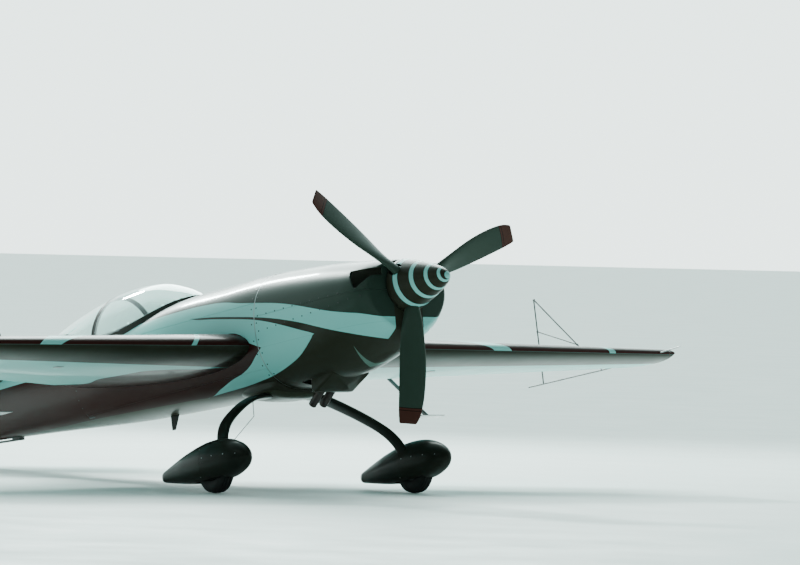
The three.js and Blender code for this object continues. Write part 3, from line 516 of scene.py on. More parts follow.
class Workshop:
    """Keeps the finishes, and hands finished pieces over to the frame."""

    def __init__(self) -> None:
        """Starts with no finish made."""
        self.made: dict[object, bpy.types.Material] = {}

    def finish(self, finish: Finish) -> bpy.types.Material:
        """The material of a finish, made the first time that it is asked for.

        Args:
            finish: The finish.

        Returns:
            Its material.
        """
        if finish not in self.made:
            self.made[finish] = finish.material()
        return self.made[finish]

    def hand_over(
        self, piece: Piece, body: Body, finishes: Sequence[Finish], slot: str,
        nodes: Sequence[str] = (), smooth: float | None = 35, axes: Matrix = BODY_TO_ROW,
    ) -> Piece:
        """Puts a piece in the row frame, dresses it and says what it rides on.

        Args:
            piece: The finished piece, in body or ground axes.
            body: The CAD body that it moves with.
            finishes: Its finishes, in the order of its material numbers.
            slot: A material slot's name; not used.
            nodes: The CAD nodes that it stands for.
            smooth: Edges under this angle are shaded smooth; None leaves the shading as it is.
            axes: What takes its axes to the row frame.

        Returns:
            The piece.
        """
        select_only(piece)
        piece.matrix_world = axes
        bpy.ops.object.transform_apply(location=True, rotation=True, scale=True)
        if smooth is not None:
            bpy.ops.object.shade_smooth_by_angle(angle=math.radians(smooth))
        piece.data.materials.clear()
        for finish in finishes:
            piece.data.materials.append(self.finish(finish))
        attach(piece, body.value)
        if nodes:
            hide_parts(*nodes)
        log.info("%-24s %6d faces, rides on %s", piece.name, len(piece.data.polygons), body.value)
        return piece


# Finishes


def linear(colour: str) -> tuple[float, float, float, float]:
    """Turns an sRGB hex colour such as "#c9dedb" to linear values.

    Args:
        colour: The hex colour.

    Returns:
        Red, green, blue and an alpha of 1.
    """
    parts = [int(colour[i:i + 2], 16) / 255 for i in (1, 3, 5)]
    red, green, blue = (c / 12.92 if c <= 0.04045 else ((c + 0.055) / 1.055) ** 2.4 for c in parts)
    return red, green, blue, 1.0


def add_node(
    tree: bpy.types.NodeTree, kind: str, links: dict[object, object] | None = None, **settings: object
) -> bpy.types.Node:
    """Adds a node with its settings and what goes into it.

    Args:
        tree: The node tree.
        kind: Blender's name for the node.
        links: For an input's name or number, a value, a socket, or a node whose first output goes in.
        settings: The node's own settings.

    Returns:
        The new node.
    """
    node = tree.nodes.new(kind)
    for name, value in settings.items():
        setattr(node, name, value)
    for key, source in (links or {}).items():
        if isinstance(source, bpy.types.Node):
            source = source.outputs[0]
        if isinstance(source, bpy.types.NodeSocket):
            tree.links.new(source, node.inputs[key])
        else:
            node.inputs[key].default_value = source
    return node


def mixed(tree: bpy.types.NodeTree, share: object, low: object, high: object) -> Socket:
    """A colour between two others.

    Args:
        tree: The node tree.
        share: The second colour's share.
        low: The first colour.
        high: The second colour.

    Returns:
        The colour.
    """
    return add_node(tree, "ShaderNodeMix", {0: share, 6: low, 7: high}, data_type="RGBA").outputs[2]


def body_place(tree: bpy.types.NodeTree, place: Socket) -> bpy.types.Node:
    """The shaded point in body axes, in metres.

    Args:
        tree: The node tree.
        place: Object coordinates.

    Returns:
        The node that gives it.
    """
    return add_node(tree, "ShaderNodeMapping", {
        "Vector": place, "Location": BODY_TO_ROW.inverted().translation, "Rotation": (0, ATTITUDE, 0),
    })


def work_out(tree: bpy.types.NodeTree, known: dict[str, object], sums: Sequence[tuple]) -> None:
    """Adds the result of each sum, given as its name, operation and terms, to the known values.

    Args:
        tree: The node tree.
        known: Values by name, which grow by the results.
        sums: The sums. A term is a name or a number.
    """
    for name, operation, *terms in sums:
        known[name] = add_node(tree, "ShaderNodeMath", {
            i: known.get(t, t) for i, t in enumerate(terms)
        }, operation=operation)


def body_axes(tree: bpy.types.NodeTree, place: Socket) -> dict[str, object]:
    """The shaded point's place along each body axis, and its station.

    Args:
        tree: The node tree.
        place: Object coordinates.

    Returns:
        Values by name: x, y and z, and the station s.
    """
    axes = add_node(tree, "ShaderNodeSeparateXYZ", {0: body_place(tree, place)})
    known: dict[str, object] = {"x": axes.outputs[0], "y": axes.outputs[1], "z": axes.outputs[2]}
    work_out(tree, known, [("s", "MULTIPLY", "x", -1.0)])
    return known


@dataclass(frozen=True)
class Finish:
    """A surface with a fine grain, an uneven sheen and worn edges.

    Attributes:
        name: The real material and how its surface was made.
        colour: Its main colour.
        roughness: Its mean roughness.
        metallic: 1 for bare metal.
        uneven: How far the roughness strays from its mean.
        patch: Size of the patches where sheen and tint change, in millimetres.
        tint: The colour that the patches drift to.
        grain: Spacing of the surface grain, in millimetres.
        depth: Height of the grain, in millimetres.
        stretch: How much longer the grain is drawn along each axis.
        worn: The colour that shows along rubbed edges.
        coat: Weight of a clear coat.
    """

    name: str
    colour: str
    roughness: float
    metallic: float = 0.0
    uneven: float = 0.08
    patch: float = 90.0
    tint: str = ""
    grain: float = 1.5
    depth: float = 0.02
    stretch: Point = (1, 1, 1)
    worn: str = ""
    coat: float = 0.0

    def material(self) -> bpy.types.Material:
        """Builds the material.

        Returns:
            The material.
        """
        material = bpy.data.materials.new(self.name)
        material.use_nodes = True
        tree = material.node_tree
        tree.nodes.clear()
        place = add_node(tree, "ShaderNodeTexCoord").outputs["Object"]
        patches = add_node(tree, "ShaderNodeTexNoise", {
            "Vector": place, "Scale": 1000 / self.patch, "Detail": 5.0, "Roughness": 0.6,
        })
        roughness = add_node(tree, "ShaderNodeMapRange", {
            "Value": patches, "From Min": 0.3, "From Max": 0.7,
            "To Min": max(0.02, self.roughness - self.uneven), "To Max": self.roughness + self.uneven,
        })
        bump = add_node(tree, "ShaderNodeBump", {
            "Height": self.relief(tree, place), "Distance": self.depth * MM, "Strength": 1.0,
        })
        shader = add_node(tree, "ShaderNodeBsdfPrincipled", {
            "Base Color": self.rubbed(tree, self.paint(tree, place, patches)),
            "Roughness": roughness, "Metallic": self.metallic, "Normal": bump, "Coat Weight": self.coat,
            "Coat Roughness": 0.04,
        })
        self.adjust(shader)
        add_node(tree, "ShaderNodeOutputMaterial", {"Surface": shader})
        return material

    def adjust(self, shader: bpy.types.Node) -> None:
        """Sets what only some finishes need on the shader; here, nothing."""

    def paint(self, tree: bpy.types.NodeTree, place: Socket, patches: bpy.types.Node) -> Socket:
        """The base colour, which drifts a little from patch to patch.

        Args:
            tree: The node tree.
            place: Object coordinates.
            patches: The noise of the patches.

        Returns:
            The colour.
        """
        return mixed(tree, patches, linear(self.colour), linear(self.tint or self.colour))

    def rubbed(self, tree: bpy.types.NodeTree, colour: Socket) -> Socket:
        """Lets the worn colour through along sharp edges.

        Args:
            tree: The node tree.
            colour: The colour of the sound surface.

        Returns:
            The colour with its worn edges.
        """
        if not self.worn:
            return colour
        pointed = add_node(tree, "ShaderNodeNewGeometry").outputs["Pointiness"]
        edge = add_node(tree, "ShaderNodeMapRange", {"Value": pointed, "From Min": 0.56, "From Max": 0.66})
        return mixed(tree, edge, colour, linear(self.worn))

    def relief(self, tree: bpy.types.NodeTree, place: Socket) -> Socket:
        """The height of the grain.

        Args:
            tree: The node tree.
            place: Object coordinates.

        Returns:
            A height from 0 to 1.
        """
        drawn = add_node(
            tree, "ShaderNodeMapping", {"Vector": place, "Scale": tuple(1 / s for s in self.stretch)}
        )
        return add_node(tree, "ShaderNodeTexNoise", {
            "Vector": drawn, "Scale": 1000 / self.grain, "Detail": 3.0,
        }).outputs[0]


@dataclass(frozen=True)
class Woven(Finish):
    """Threads or tows that cross at right angles; spacing is the grain."""

    def relief(self, tree: bpy.types.NodeTree, place: Socket) -> Socket:
        """Two sets of threads, the higher one showing at each crossing.

        Args:
            tree: The node tree.
            place: Object coordinates.

        Returns:
            A height from 0 to 1.
        """
        turned = add_node(tree, "ShaderNodeMapping", {"Vector": place, "Rotation": (0.6, 0.5, 0.78)})
        waves = [
            add_node(tree, "ShaderNodeTexWave", {
                "Vector": turned, "Scale": 1000 / self.grain / 20, "Distortion": 0.6,
            }, bands_direction=axis)
            for axis in ("X", "Y")
        ]
        return add_node(tree, "ShaderNodeMath", {0: waves[0], 1: waves[1]}, operation="MAXIMUM").outputs[0]


@dataclass(frozen=True)
class Acrylic(Finish):
    """Clear moulded acrylic: sharp sky reflections and a faint smoky tint."""

    def adjust(self, shader: bpy.types.Node) -> None:
        """Lets light through."""
        shader.inputs["Transmission Weight"].default_value = 1.0
        shader.inputs["IOR"].default_value = 1.49


class Area(Enum):
    """The part of the paint scheme that a surface shows."""

    HULL = "hull"
    WING = "wing"
    TAIL = "tail"
    FIN = "fin"
    PLAIN = "plain"


@dataclass(frozen=True)
class Enamel(Finish):
    """Two-pack polyurethane enamel, sprayed and polished over a composite skin.

    It gives deep colour under a thin clear skin that waves a little where the cloth
    under it prints through. The scheme is drawn on stations and heights in metres.
    """

    area: Area = Area.PLAIN

    DARK = "#2c2c23"
    # Deck: dark paint with a teal cast, which is a painted sky reflection on the fuselage top
    DECK = "#2b3932"
    MAROON = "#32110e"
    PALE = "#86cac6"
    # Belly grey: exhaust soot, with painted shade of the underside in it
    BELLY_SOOT_AND_SHADE = "#3a3c30"
    HORN = "#5f7a71"
    DUST = "#7d8b88"
    SOFT = 0.0012

    def adjust(self, shader: bpy.types.Node) -> None:
        """Keeps the sky's mirror image weak, so that the dark colours stay deep."""
        shader.inputs["Coat IOR"].default_value = 1.2
        shader.inputs["Specular IOR Level"].default_value = 0.05

    # Heights of the edges between colours, as [station, height]
    STRIPE_TOP = (
        (.50, -.222), (.594, -.190), (.739, -.160), (.889, -.127), (1.105, -.071), (1.330, -.013),
        (1.531, .028), (1.742, .062), (1.990, .099), (2.244, .141), (2.476, .158), (2.674, .164),
        (3.3, .160), (4.2, .140), (5.2, .115), (6.3, .095),
    )
    STRIPE_FOOT = (
        (.50, -.415), (.602, -.365), (.728, -.319), (.947, -.249), (1.089, -.203), (1.246, -.154),
        (1.419, -.109), (1.596, -.069), (1.784, -.034), (1.971, -.004), (2.160, .025), (2.359, .053),
        (2.520, .070), (2.640, .082), (3.3, .095), (4.2, .086), (5.2, .068), (6.3, .055),
    )
    LINE_FOOT = (
        (.50, -.50), (.80, -.41), (1.00, -.325), (1.121, -.254), (1.265, -.204), (1.429, -.150),
        (1.602, -.099), (1.784, -.054), (1.972, -.020), (2.160, .009), (2.355, .037), (2.515, .058),
        (2.640, .082), (3.3, .150), (4.2, .160), (6.3, .160),
    )
    SWOOSH_FOOT = (
        (.50, -.46), (.80, -.38), (1.00, -.305), (1.123, -.254), (1.179, -.282), (1.228, -.307),
        (1.314, -.347), (1.398, -.378), (1.531, -.411), (1.671, -.437), (1.813, -.456), (1.958, -.467),
        (2.141, -.476), (2.506, -.481), (2.677, -.486), (2.75, -.65), (3.0, -.70),
    )
    FLANK_FOOT = (
        (1.760, -.256), (1.853, -.303), (1.944, -.351), (2.068, -.390), (2.246, -.418), (2.434, -.452),
        (2.677, -.486), (3.179, -.468), (3.703, -.449), (4.286, -.425), (4.942, -.399), (5.412, -.378),
        (5.676, -.368), (6.3, -.345),
    )
    FLANK_TOP = (
        (1.760, -.256), (1.837, -.226), (1.906, -.197), (1.941, -.159), (1.992, -.130), (2.079, -.107),
        (2.180, -.102), (2.4, -.100), (3.0, -.090), (3.8, -.070), (4.6, -.040), (6.3, -.010),
    )
    BELLY_TOP = (
        (1.76, -.66), (1.84, -.552), (2.0, -.536), (2.3, -.520), (2.68, -.486), (3.18, -.466),
        (4.3, -.424), (5.4, -.378), (6.3, -.345),
    )
    # Edge under the wing root: the underside inboard of it is maroon, like the flank
    ROOT_EDGE = (
        (1.80, .0), (2.20, .33), (2.241, .42), (2.306, .544), (2.368, .764), (2.497, .936), (2.843, .960),
        (3.550, .720), (4.20, .70),
    )
    LOW, HIGH = -1.0, 1.0

    def paint(self, tree: bpy.types.NodeTree, place: Socket, patches: bpy.types.Node) -> Socket:
        """Lays the colours over each other, the first one lowest.

        Args:
            tree: The node tree.
            place: Object coordinates.
            patches: The noise of the patches.

        Returns:
            The colour.
        """
        if self.area is Area.PLAIN:
            return super().paint(tree, place, patches)
        known = body_axes(tree, place)
        lines: dict[str, tuple[tuple[float, float], ...]] = {}
        base, sums, layers = {
            Area.HULL: self.hull, Area.WING: self.wing, Area.TAIL: self.wing, Area.FIN: self.fin,
        }[self.area](lines)
        work_out(tree, known, [("side", "ABSOLUTE", "y")])
        for name, points in lines.items():
            along = add_node(tree, "ShaderNodeMapRange", {
                "Value": known["s"], "From Min": points[0][0], "From Max": points[-1][0],
            })
            curve = add_node(tree, "ShaderNodeFloatCurve", {"Value": along})
            self.draw(curve.mapping, points)
            known[name] = add_node(tree, "ShaderNodeMapRange", {
                "Value": curve, "To Min": self.LOW, "To Max": self.HIGH,
            })
        work_out(tree, known, sums)
        colour: object = linear(base)
        for paint, masks in layers:
            share: object = 1.0
            for mask in masks:
                cut = add_node(tree, "ShaderNodeMapRange", {
                    "Value": known[mask], "From Min": -self.SOFT, "From Max": self.SOFT,
                })
                share = add_node(tree, "ShaderNodeMath", {0: share, 1: cut}, operation="MULTIPLY")
            colour = mixed(tree, share, colour, linear(paint))
        dusty = add_node(tree, "ShaderNodeMapRange", {
            "Value": patches, "From Min": 0.35, "From Max": 0.8, "To Min": 0.0, "To Max": 0.02,
        })
        return mixed(tree, dusty, colour, linear(self.DUST))

    def draw(self, mapping: bpy.types.CurveMapping, points: Sequence[tuple[float, float]]) -> None:
        """Draws an edge between two colours on a curve that runs from 0 to 1.

        Args:
            mapping: The curve's mapping.
            points: The edge, as [station, height] in metres.
        """
        curve = mapping.curves[0]
        first, last = points[0][0], points[-1][0]
        while len(curve.points) < len(points):
            curve.points.new(0.5, 0.5)
        for dot, (station, height) in zip(curve.points, points):
            dot.location = ((station - first) / (last - first), (height - self.LOW) / (self.HIGH - self.LOW))
            dot.handle_type = "AUTO_CLAMPED"
        mapping.update()

    def hull(self, lines: dict[str, tuple[tuple[float, float], ...]]) -> tuple:
        """Fuselage: a pale stripe with a dark line under it, and a pale swoosh over the flank.

        Args:
            lines: Takes the edges that the scheme needs.

        Returns:
            The base colour, the sums and the layers.
        """
        lines.update(
            stripe_top=self.STRIPE_TOP, stripe_foot=self.STRIPE_FOOT, line_foot=self.LINE_FOOT,
            swoosh_foot=self.SWOOSH_FOOT, flank_foot=self.FLANK_FOOT, flank_top=self.FLANK_TOP,
            belly_top=self.BELLY_TOP,
        )
        sums = (
            ("under_flank", "SUBTRACT", "flank_foot", "z"),
            ("over_flank", "SUBTRACT", "z", "flank_top"),
            ("under_stripe", "SUBTRACT", "stripe_foot", "z"),
            ("over_line", "SUBTRACT", "z", "line_foot"),
            ("under_swoosh", "SUBTRACT", "swoosh_foot", "z"),
            ("over_stripe", "SUBTRACT", "z", "stripe_top"),
            ("in_belly", "SUBTRACT", "belly_top", "z"),
            ("in_chin", "SUBTRACT", 0.122, "side"),
            ("ahead", "SUBTRACT", 0.62, "s"),
            ("bow", "MULTIPLY_ADD", "side", -0.63, 1.0),
            ("mark_rear", "SUBTRACT", "bow", "s"),
            ("bend", "MULTIPLY_ADD", "side", -0.37, 0.935),
            ("mark_front", "SUBTRACT", "s", "bend"),
            ("mark_end", "SUBTRACT", 0.25, "side"),
            ("mark_top", "SUBTRACT", -0.33, "z"),
        )
        layers = (
            (self.PALE, ("under_flank",)), (self.PALE, ("over_flank",)),
            (self.DARK, ("under_stripe", "over_line")), (self.DARK, ("under_swoosh",)),
            # The belly's grey is exhaust soot with painted shade of the underside
            # The deck's teal cast over the stripe is a painted sky reflection
            (self.BELLY_SOOT_AND_SHADE, ("in_belly",)), (self.DECK, ("over_stripe",)), (self.DARK, ("in_chin", "ahead")),
            (self.HORN, ("mark_rear", "mark_front", "mark_end", "mark_top")),
        )
        return self.MAROON, sums, layers

    def wing(self, lines: dict[str, tuple[tuple[float, float], ...]]) -> tuple:
        """Wing or tail surface: pale below, a dark nose under it, and slanting bands over the top.

        Args:
            lines: Takes the maroon's edge under the wing root.

        Returns:
            The base colour, the sums and the layers.
        """
        wing = self.area is Area.WING
        lead, sweep = (1.853, 0.090) if wing else (5.340, 0.1375)
        root, taper = (2.311, -0.40907) if wing else (1.000, -0.18125)
        plane, rise = (-0.215, 0.008) if wing else (0.070, 0.0)
        bands = (
            ((1.90, -1.78), (2.08, -1.00)), ((0.821, -0.66), (0.861, -0.67)), ((3.074, -0.5), (3.136, -0.4)),
        ) if wing else (((0.92, -1.2), (1.06, -0.7)), ((1.46, -0.5), (1.50, -0.4)))
        sums = [
            ("lead", "MULTIPLY_ADD", "side", sweep, lead),
            ("chord", "MULTIPLY_ADD", "side", taper, root),
            ("plane", "MULTIPLY_ADD", "side", rise, plane),
            ("aft", "SUBTRACT", "s", "lead"),
            ("up", "SUBTRACT", "z", "plane"),
            ("part", "DIVIDE", "aft", "chord"),
            ("reach", "MULTIPLY_ADD", "side", -0.028, 0.342 if wing else 0.155),
            ("limit", "MULTIPLY_ADD", "part", 0.05, -0.012),
            ("lower", "MINIMUM", "limit", 0.0),
            ("under", "SUBTRACT", "lower", "up"),
            ("nose", "SUBTRACT", "reach", "aft"),
            ("over", "MULTIPLY_ADD", "aft", 0.6, "up"),
        ]
        layers = []
        for i, ((inner, inward), (outer, outward)) in enumerate(bands):
            sums += [
                (f"inner_{i}", "MULTIPLY_ADD", "over", inward, inner),
                (f"outer_{i}", "MULTIPLY_ADD", "over", outward, outer),
                (f"beyond_{i}", "SUBTRACT", "side", f"inner_{i}"),
                (f"within_{i}", "SUBTRACT", f"outer_{i}", "side"),
            ]
            layers.append((self.PALE, (f"beyond_{i}", f"within_{i}")))
        layers.append((self.PALE, ("under",)))
        if wing:
            lines["root_edge"] = self.ROOT_EDGE
            sums.append(("in_root", "SUBTRACT", "root_edge", "side"))
            layers.append((self.MAROON, ("under", "in_root")))
        layers.append((self.DARK, ("under", "nose")))
        return self.MAROON, sums, layers

    def fin(self, lines: dict[str, tuple[tuple[float, float], ...]]) -> tuple:
        """Fin and rudder: two pale bands that rise aft over maroon, under a dark cap.

        Args:
            lines: Not used; left as they are.

        Returns:
            The base colour, the sums and the layers.
        """
        sums = (
            ("climb", "MULTIPLY_ADD", "s", -0.62, 4.32),
            ("rise", "SUBTRACT", "z", "climb"),
            ("wide_top", "SUBTRACT", 0.40, "rise"),
            ("wide_foot", "SUBTRACT", "rise", 0.12),
            ("thin_top", "SUBTRACT", 0.07, "rise"),
            ("thin_foot", "SUBTRACT", "rise", 0.035),
            ("cap", "SUBTRACT", "z", 0.93),
        )
        layers = (
            (self.PALE, ("wide_top", "wide_foot")), (self.PALE, ("thin_top", "thin_foot")),
            (self.DARK, ("cap",)),
        )
        return self.MAROON, sums, layers


@dataclass(frozen=True)
class SpinnerPaint(Enamel):
    """Dark enamel with a pale line that winds round the cone and a pale tip."""

    def paint(self, tree: bpy.types.NodeTree, place: Socket, patches: bpy.types.Node) -> Socket:
        """Winds the pale line, whose turns draw in towards the tip.

        Args:
            tree: The node tree.
            place: Object coordinates.
            patches: The noise of the patches; not used.

        Returns:
            The colour.
        """
        known = body_axes(tree, place)
        work_out(tree, known, (
            ("deep", "MAXIMUM", "s", 0.0),
            ("drawn", "POWER", "deep", 0.7),
            ("turns", "MULTIPLY_ADD", "drawn", 7.47, 0.693),
            ("angle", "ARCTAN2", "z", "y"),
            ("wound", "MULTIPLY_ADD", "angle", 0.5 / math.pi, "turns"),
            ("phase", "FRACT", "wound"),
            ("line", "SUBTRACT", 0.27, "phase"),
            ("tip", "SUBTRACT", 0.019, "s"),
        ))
        colour: object = linear(self.DARK)
        for mask, soft in (("line", 0.02), ("tip", self.SOFT)):
            cut = add_node(tree, "ShaderNodeMapRange", {
                "Value": known[mask], "From Min": -soft, "From Max": soft,
            })
            colour = mixed(tree, cut, colour, linear(self.PALE))
        return colour


@dataclass(frozen=True)
class BladePaint(Enamel):
    """Matt green-grey blade enamel with two thin lines and a brown tip."""

    def paint(self, tree: bpy.types.NodeTree, place: Socket, patches: bpy.types.Node) -> Socket:
        """Rings the blade by its distance from the shaft.

        Args:
            tree: The node tree.
            place: Object coordinates.
            patches: The noise of the patches; not used.

        Returns:
            The colour.
        """
        body = body_place(tree, place)
        flat = add_node(tree, "ShaderNodeVectorMath", {0: body, 1: (0, 1, 1)}, operation="MULTIPLY")
        reach = add_node(tree, "ShaderNodeVectorMath", {0: flat}, operation="LENGTH").outputs["Value"]
        ramp = add_node(tree, "ShaderNodeValToRGB", {0: reach})
        ramp.color_ramp.interpolation = "CONSTANT"
        base, line, brown = linear(self.colour), linear("#050606"), linear("#4a2c26")
        stops = [(0.0, base), (0.886, line), (0.890, brown), (0.905, line), (0.909, brown)]
        for at, colour in stops[2:]:
            ramp.color_ramp.elements.new(at).color = colour
        for element, (at, colour) in zip(ramp.color_ramp.elements, stops):
            element.position, element.color = at, colour
        return ramp.outputs[0]


# Sprayed enamel: a thin clear skin with a soft sheen over each colour of the scheme
ENAMEL = dict(roughness=0.34, uneven=0.05, patch=420, grain=7, depth=0.012, coat=0.22)
HULL_ENAMEL = Enamel("polyurethane enamel, fuselage scheme", Enamel.MAROON, area=Area.HULL, **ENAMEL)
WING_ENAMEL = Enamel("polyurethane enamel, wing scheme", Enamel.MAROON, area=Area.WING, **ENAMEL)
TAIL_ENAMEL = Enamel("polyurethane enamel, tail scheme", Enamel.MAROON, area=Area.TAIL, **ENAMEL)
FIN_ENAMEL = Enamel("polyurethane enamel, fin scheme", Enamel.MAROON, area=Area.FIN, **ENAMEL)
DARK_ENAMEL = Enamel("polyurethane enamel, dark", Enamel.DARK, tint="#12191a", **ENAMEL)
SPINNER_ENAMEL = SpinnerPaint("polyurethane enamel, wound line", Enamel.DARK, **ENAMEL)
# Blade enamel: rubbed nearly matt by sand and rain, with a brown tip
BLADE_ENAMEL = BladePaint(
    "blade enamel, rain-worn", "#34423a", roughness=0.42, uneven=0.08, patch=60, grain=3, depth=0.02,
    coat=0.3,
)
# Woven carbon under clear resin: tows show as fine squares that turn with the light
CARBON = Woven(
    "carbon twill in clear resin", "#101314", roughness=0.32, tint="#191e1f", grain=4, depth=0.06, coat=0.6,
)
# Laminate inside the shells: unpainted and dry, with a coarser weave
BARE_LAMINATE = Woven(
    "glass laminate, unpainted inside", "#2b3130", roughness=0.62, tint="#363c3a", grain=5, depth=0.1,
)
# Cast acrylic: clear, with crisp reflections and fine polishing haze
CANOPY_ACRYLIC = Acrylic("acrylic, free-blown", "#dcefec", roughness=0.03, uneven=0.02, grain=300, depth=0.05)
# Tyre rubber: dull, with scuffed grey on the tread's edges
RUBBER = Finish(
    "tyre rubber, moulded", "#0d0e0e", roughness=0.82, tint="#1c1c1b", grain=2, depth=0.08, worn="#31302d",
)
# Silicone sheet on the baffles, also laid on the engine's front: a dull olive grey that is painted shade,
# keeping the inlets one even dark tone
SEAL_SHEET_AS_INLET_SHADE = Finish("silicone sheet, fabric-backed", "#6c6f62", roughness=0.85, grain=1.2, depth=0.03)
# Alloys: brushed ones have their grain drawn along the cut, cast ones are rough and pale at the edges
ALLOY = Finish(
    "aluminium alloy, brushed", "#9aa2a2", roughness=0.36, metallic=1.0, tint="#858e8e", grain=1, depth=0.01,
    stretch=(12, 1, 1),
)
CAST_ALLOY = Finish(
    "aluminium alloy, sand-cast", "#73797a", roughness=0.58, metallic=1.0, tint="#5b6061", grain=2.5,
    depth=0.15, worn="#a4a9a9",
)
# Steels: bright with zinc plating, or tinted by heat
STEEL = Finish(
    "steel, zinc-plated", "#8b8f8d", roughness=0.38, metallic=1.0, tint="#74767a", grain=1.2, depth=0.01,
)
BURNT_STEEL = Finish(
    "stainless steel, heat-tinted", "#6b6058", roughness=0.46, metallic=1.0, uneven=0.14, patch=55,
    tint="#3f3a42", grain=2, depth=0.03,
)
# Powder coat: black with a fine grain, grey where it is rubbed
POWDER_COAT = Finish(
    "epoxy powder coat, black", "#101313", roughness=0.48, grain=1.4, depth=0.04, worn="#4e5251",
)
# Moulded plastic: fine spark-eroded grain that breaks up the highlight
PLASTIC = Finish("ABS, moulded", "#141717", roughness=0.5, grain=0.9, depth=0.03, worn="#353a3a")
# Dials: dull printed faces and marks under clear glass
DIAL_FACE = Finish("printed dial, matt", "#0b0c0c", roughness=0.6, grain=1, depth=0.005)
DIAL_MARK = Finish("dial marking enamel", "#d9dcd6", roughness=0.55, grain=1, depth=0.005)
DIAL_GLASS = Acrylic("instrument glass", "#eef3f2", roughness=0.04, uneven=0.01, grain=40, depth=0.002)
# Tip lights: coloured lenses, red on the left and green on the right
RED_LENS = Acrylic("polycarbonate lens, red", "#b3261d", roughness=0.1, grain=5, depth=0.05)
GREEN_LENS = Acrylic("polycarbonate lens, green", "#1f8f4e", roughness=0.1, grain=5, depth=0.05)
# Cloths: threads drawn at about twice their real spacing, so that the weave shows
SEAT_CLOTH = Woven(
    "wool-blend upholstery, woven", "#24282b", roughness=0.92, tint="#31363a", grain=3.2, depth=0.5,
)
WEBBING = Woven("polyester webbing, woven", "#5c1418", roughness=0.8, tint="#711c1f", grain=2.4, depth=0.3)
# Leather: grained, and paler where it is rubbed
LEATHER = Finish("leather, grained", "#1a1716", roughness=0.55, grain=2.2, depth=0.12, worn="#3b342f")
# Floor: pale paint, clouded in broad patches
FLOOR_PAINT = Finish(
    "concrete floor paint, pale", "#e3e9e7", roughness=0.55, uneven=0.1, patch=900, tint="#d6dddb", grain=9,
    depth=0.2,
)


# Stage


@dataclass
class Studio:
    """Camera at the photograph's viewing angle, pale floor and soft light."""

    eye: Point = (45.10567, -31.545, 2.017)
    lens: float = 337.5
    yaw: float = 36.702
    pitch: float = 0.532
    roll: float = 1.589
    floor_size: float = 400.0

    def camera(self) -> None:
        """Places the camera."""
        yaw, pitch, roll = (math.radians(a) for a in (self.yaw, self.pitch, self.roll))
        back = Vector((math.cos(yaw) * math.cos(pitch), -math.sin(yaw) * math.cos(pitch), math.sin(pitch)))
        level = Vector((0, 0, 1)).cross(back).normalized()
        above = back.cross(level)
        right = level * math.cos(roll) + above * math.sin(roll)
        up = above * math.cos(roll) - level * math.sin(roll)
        data = bpy.data.cameras.new("camera")
        data.lens, data.clip_end = self.lens, 1000
        camera = bpy.data.objects.new("camera", data)
        camera.matrix_world = Matrix((right, up, back)).transposed().to_4x4()
        camera.location = self.eye
        bpy.context.scene.collection.objects.link(camera)
        bpy.context.scene.camera = camera

    def floor(self, shop: Workshop) -> None:
        """Lays the floor.

        Args:
            shop: The workshop.
        """
        floor = fresh(
            bpy.ops.mesh.primitive_grid_add, x_subdivisions=8, y_subdivisions=8, size=self.floor_size,
        )
        floor.name = "floor"
        floor.data.materials.append(shop.finish(FLOOR_PAINT))

    def light(self) -> None:
        """Hangs a pale sky, brighter behind the aircraft, and three lamps."""
        world = bpy.data.worlds.new("sky")
        world.use_nodes = True
        tree = world.node_tree
        tree.nodes.clear()
        place = add_node(tree, "ShaderNodeTexCoord").outputs["Generated"]
        axes = add_node(tree, "ShaderNodeSeparateXYZ", {0: place})
        height = add_node(
            tree, "ShaderNodeMapRange", {"Value": axes.outputs[2], "From Min": -0.05, "From Max": 1.0},
        )
        sky = add_node(tree, "ShaderNodeValToRGB", {0: height})
        for element, at, colour in zip(sky.color_ramp.elements, (0.0, 1.0), ("#e3efec", "#a9cfcb")):
            element.position, element.color = at, linear(colour)
        band = sky.color_ramp.elements.new(0.16)
        band.color = linear("#d5ebe8")
        away = Vector((-math.cos(math.radians(self.yaw)), math.sin(math.radians(self.yaw)), 0.0))
        facing = add_node(
            tree, "ShaderNodeVectorMath", {0: place, 1: away}, operation="DOT_PRODUCT",
        ).outputs["Value"]
        strength = add_node(tree, "ShaderNodeMapRange", {
            "Value": facing, "From Min": -0.4, "From Max": 0.95, "To Min": 0.16, "To Max": 3.9,
        })
        background = add_node(tree, "ShaderNodeBackground", {"Color": sky, "Strength": strength})
        add_node(tree, "ShaderNodeOutputWorld", {"Surface": background})
        bpy.context.scene.world = world
        for name, place_at, size, power in (
            ("high_back", away * 9 + Vector((0, 0, 8)), 9.0, 2600), ("side", Vector((2, -9, 6)), 5.0, 90),
            ("low_sun", away * 9 + Vector((-5, -3, 7)), 0.0, 4.2),
        ):
            data = bpy.data.lights.new(name, "AREA" if size else "SUN")
            data.energy = power
            if size:
                data.shape, data.size = "DISK", size
            else:
                data.angle = math.radians(6)
            data.color = linear("#eafaf6")[:3]
            lamp = bpy.data.objects.new(name, data)
            lamp.location = place_at
            lamp.rotation_euler = (Vector((0, 0, 1)) - place_at).to_track_quat("-Z", "Y").to_euler()
            bpy.context.scene.collection.objects.link(lamp)


# Fuselage


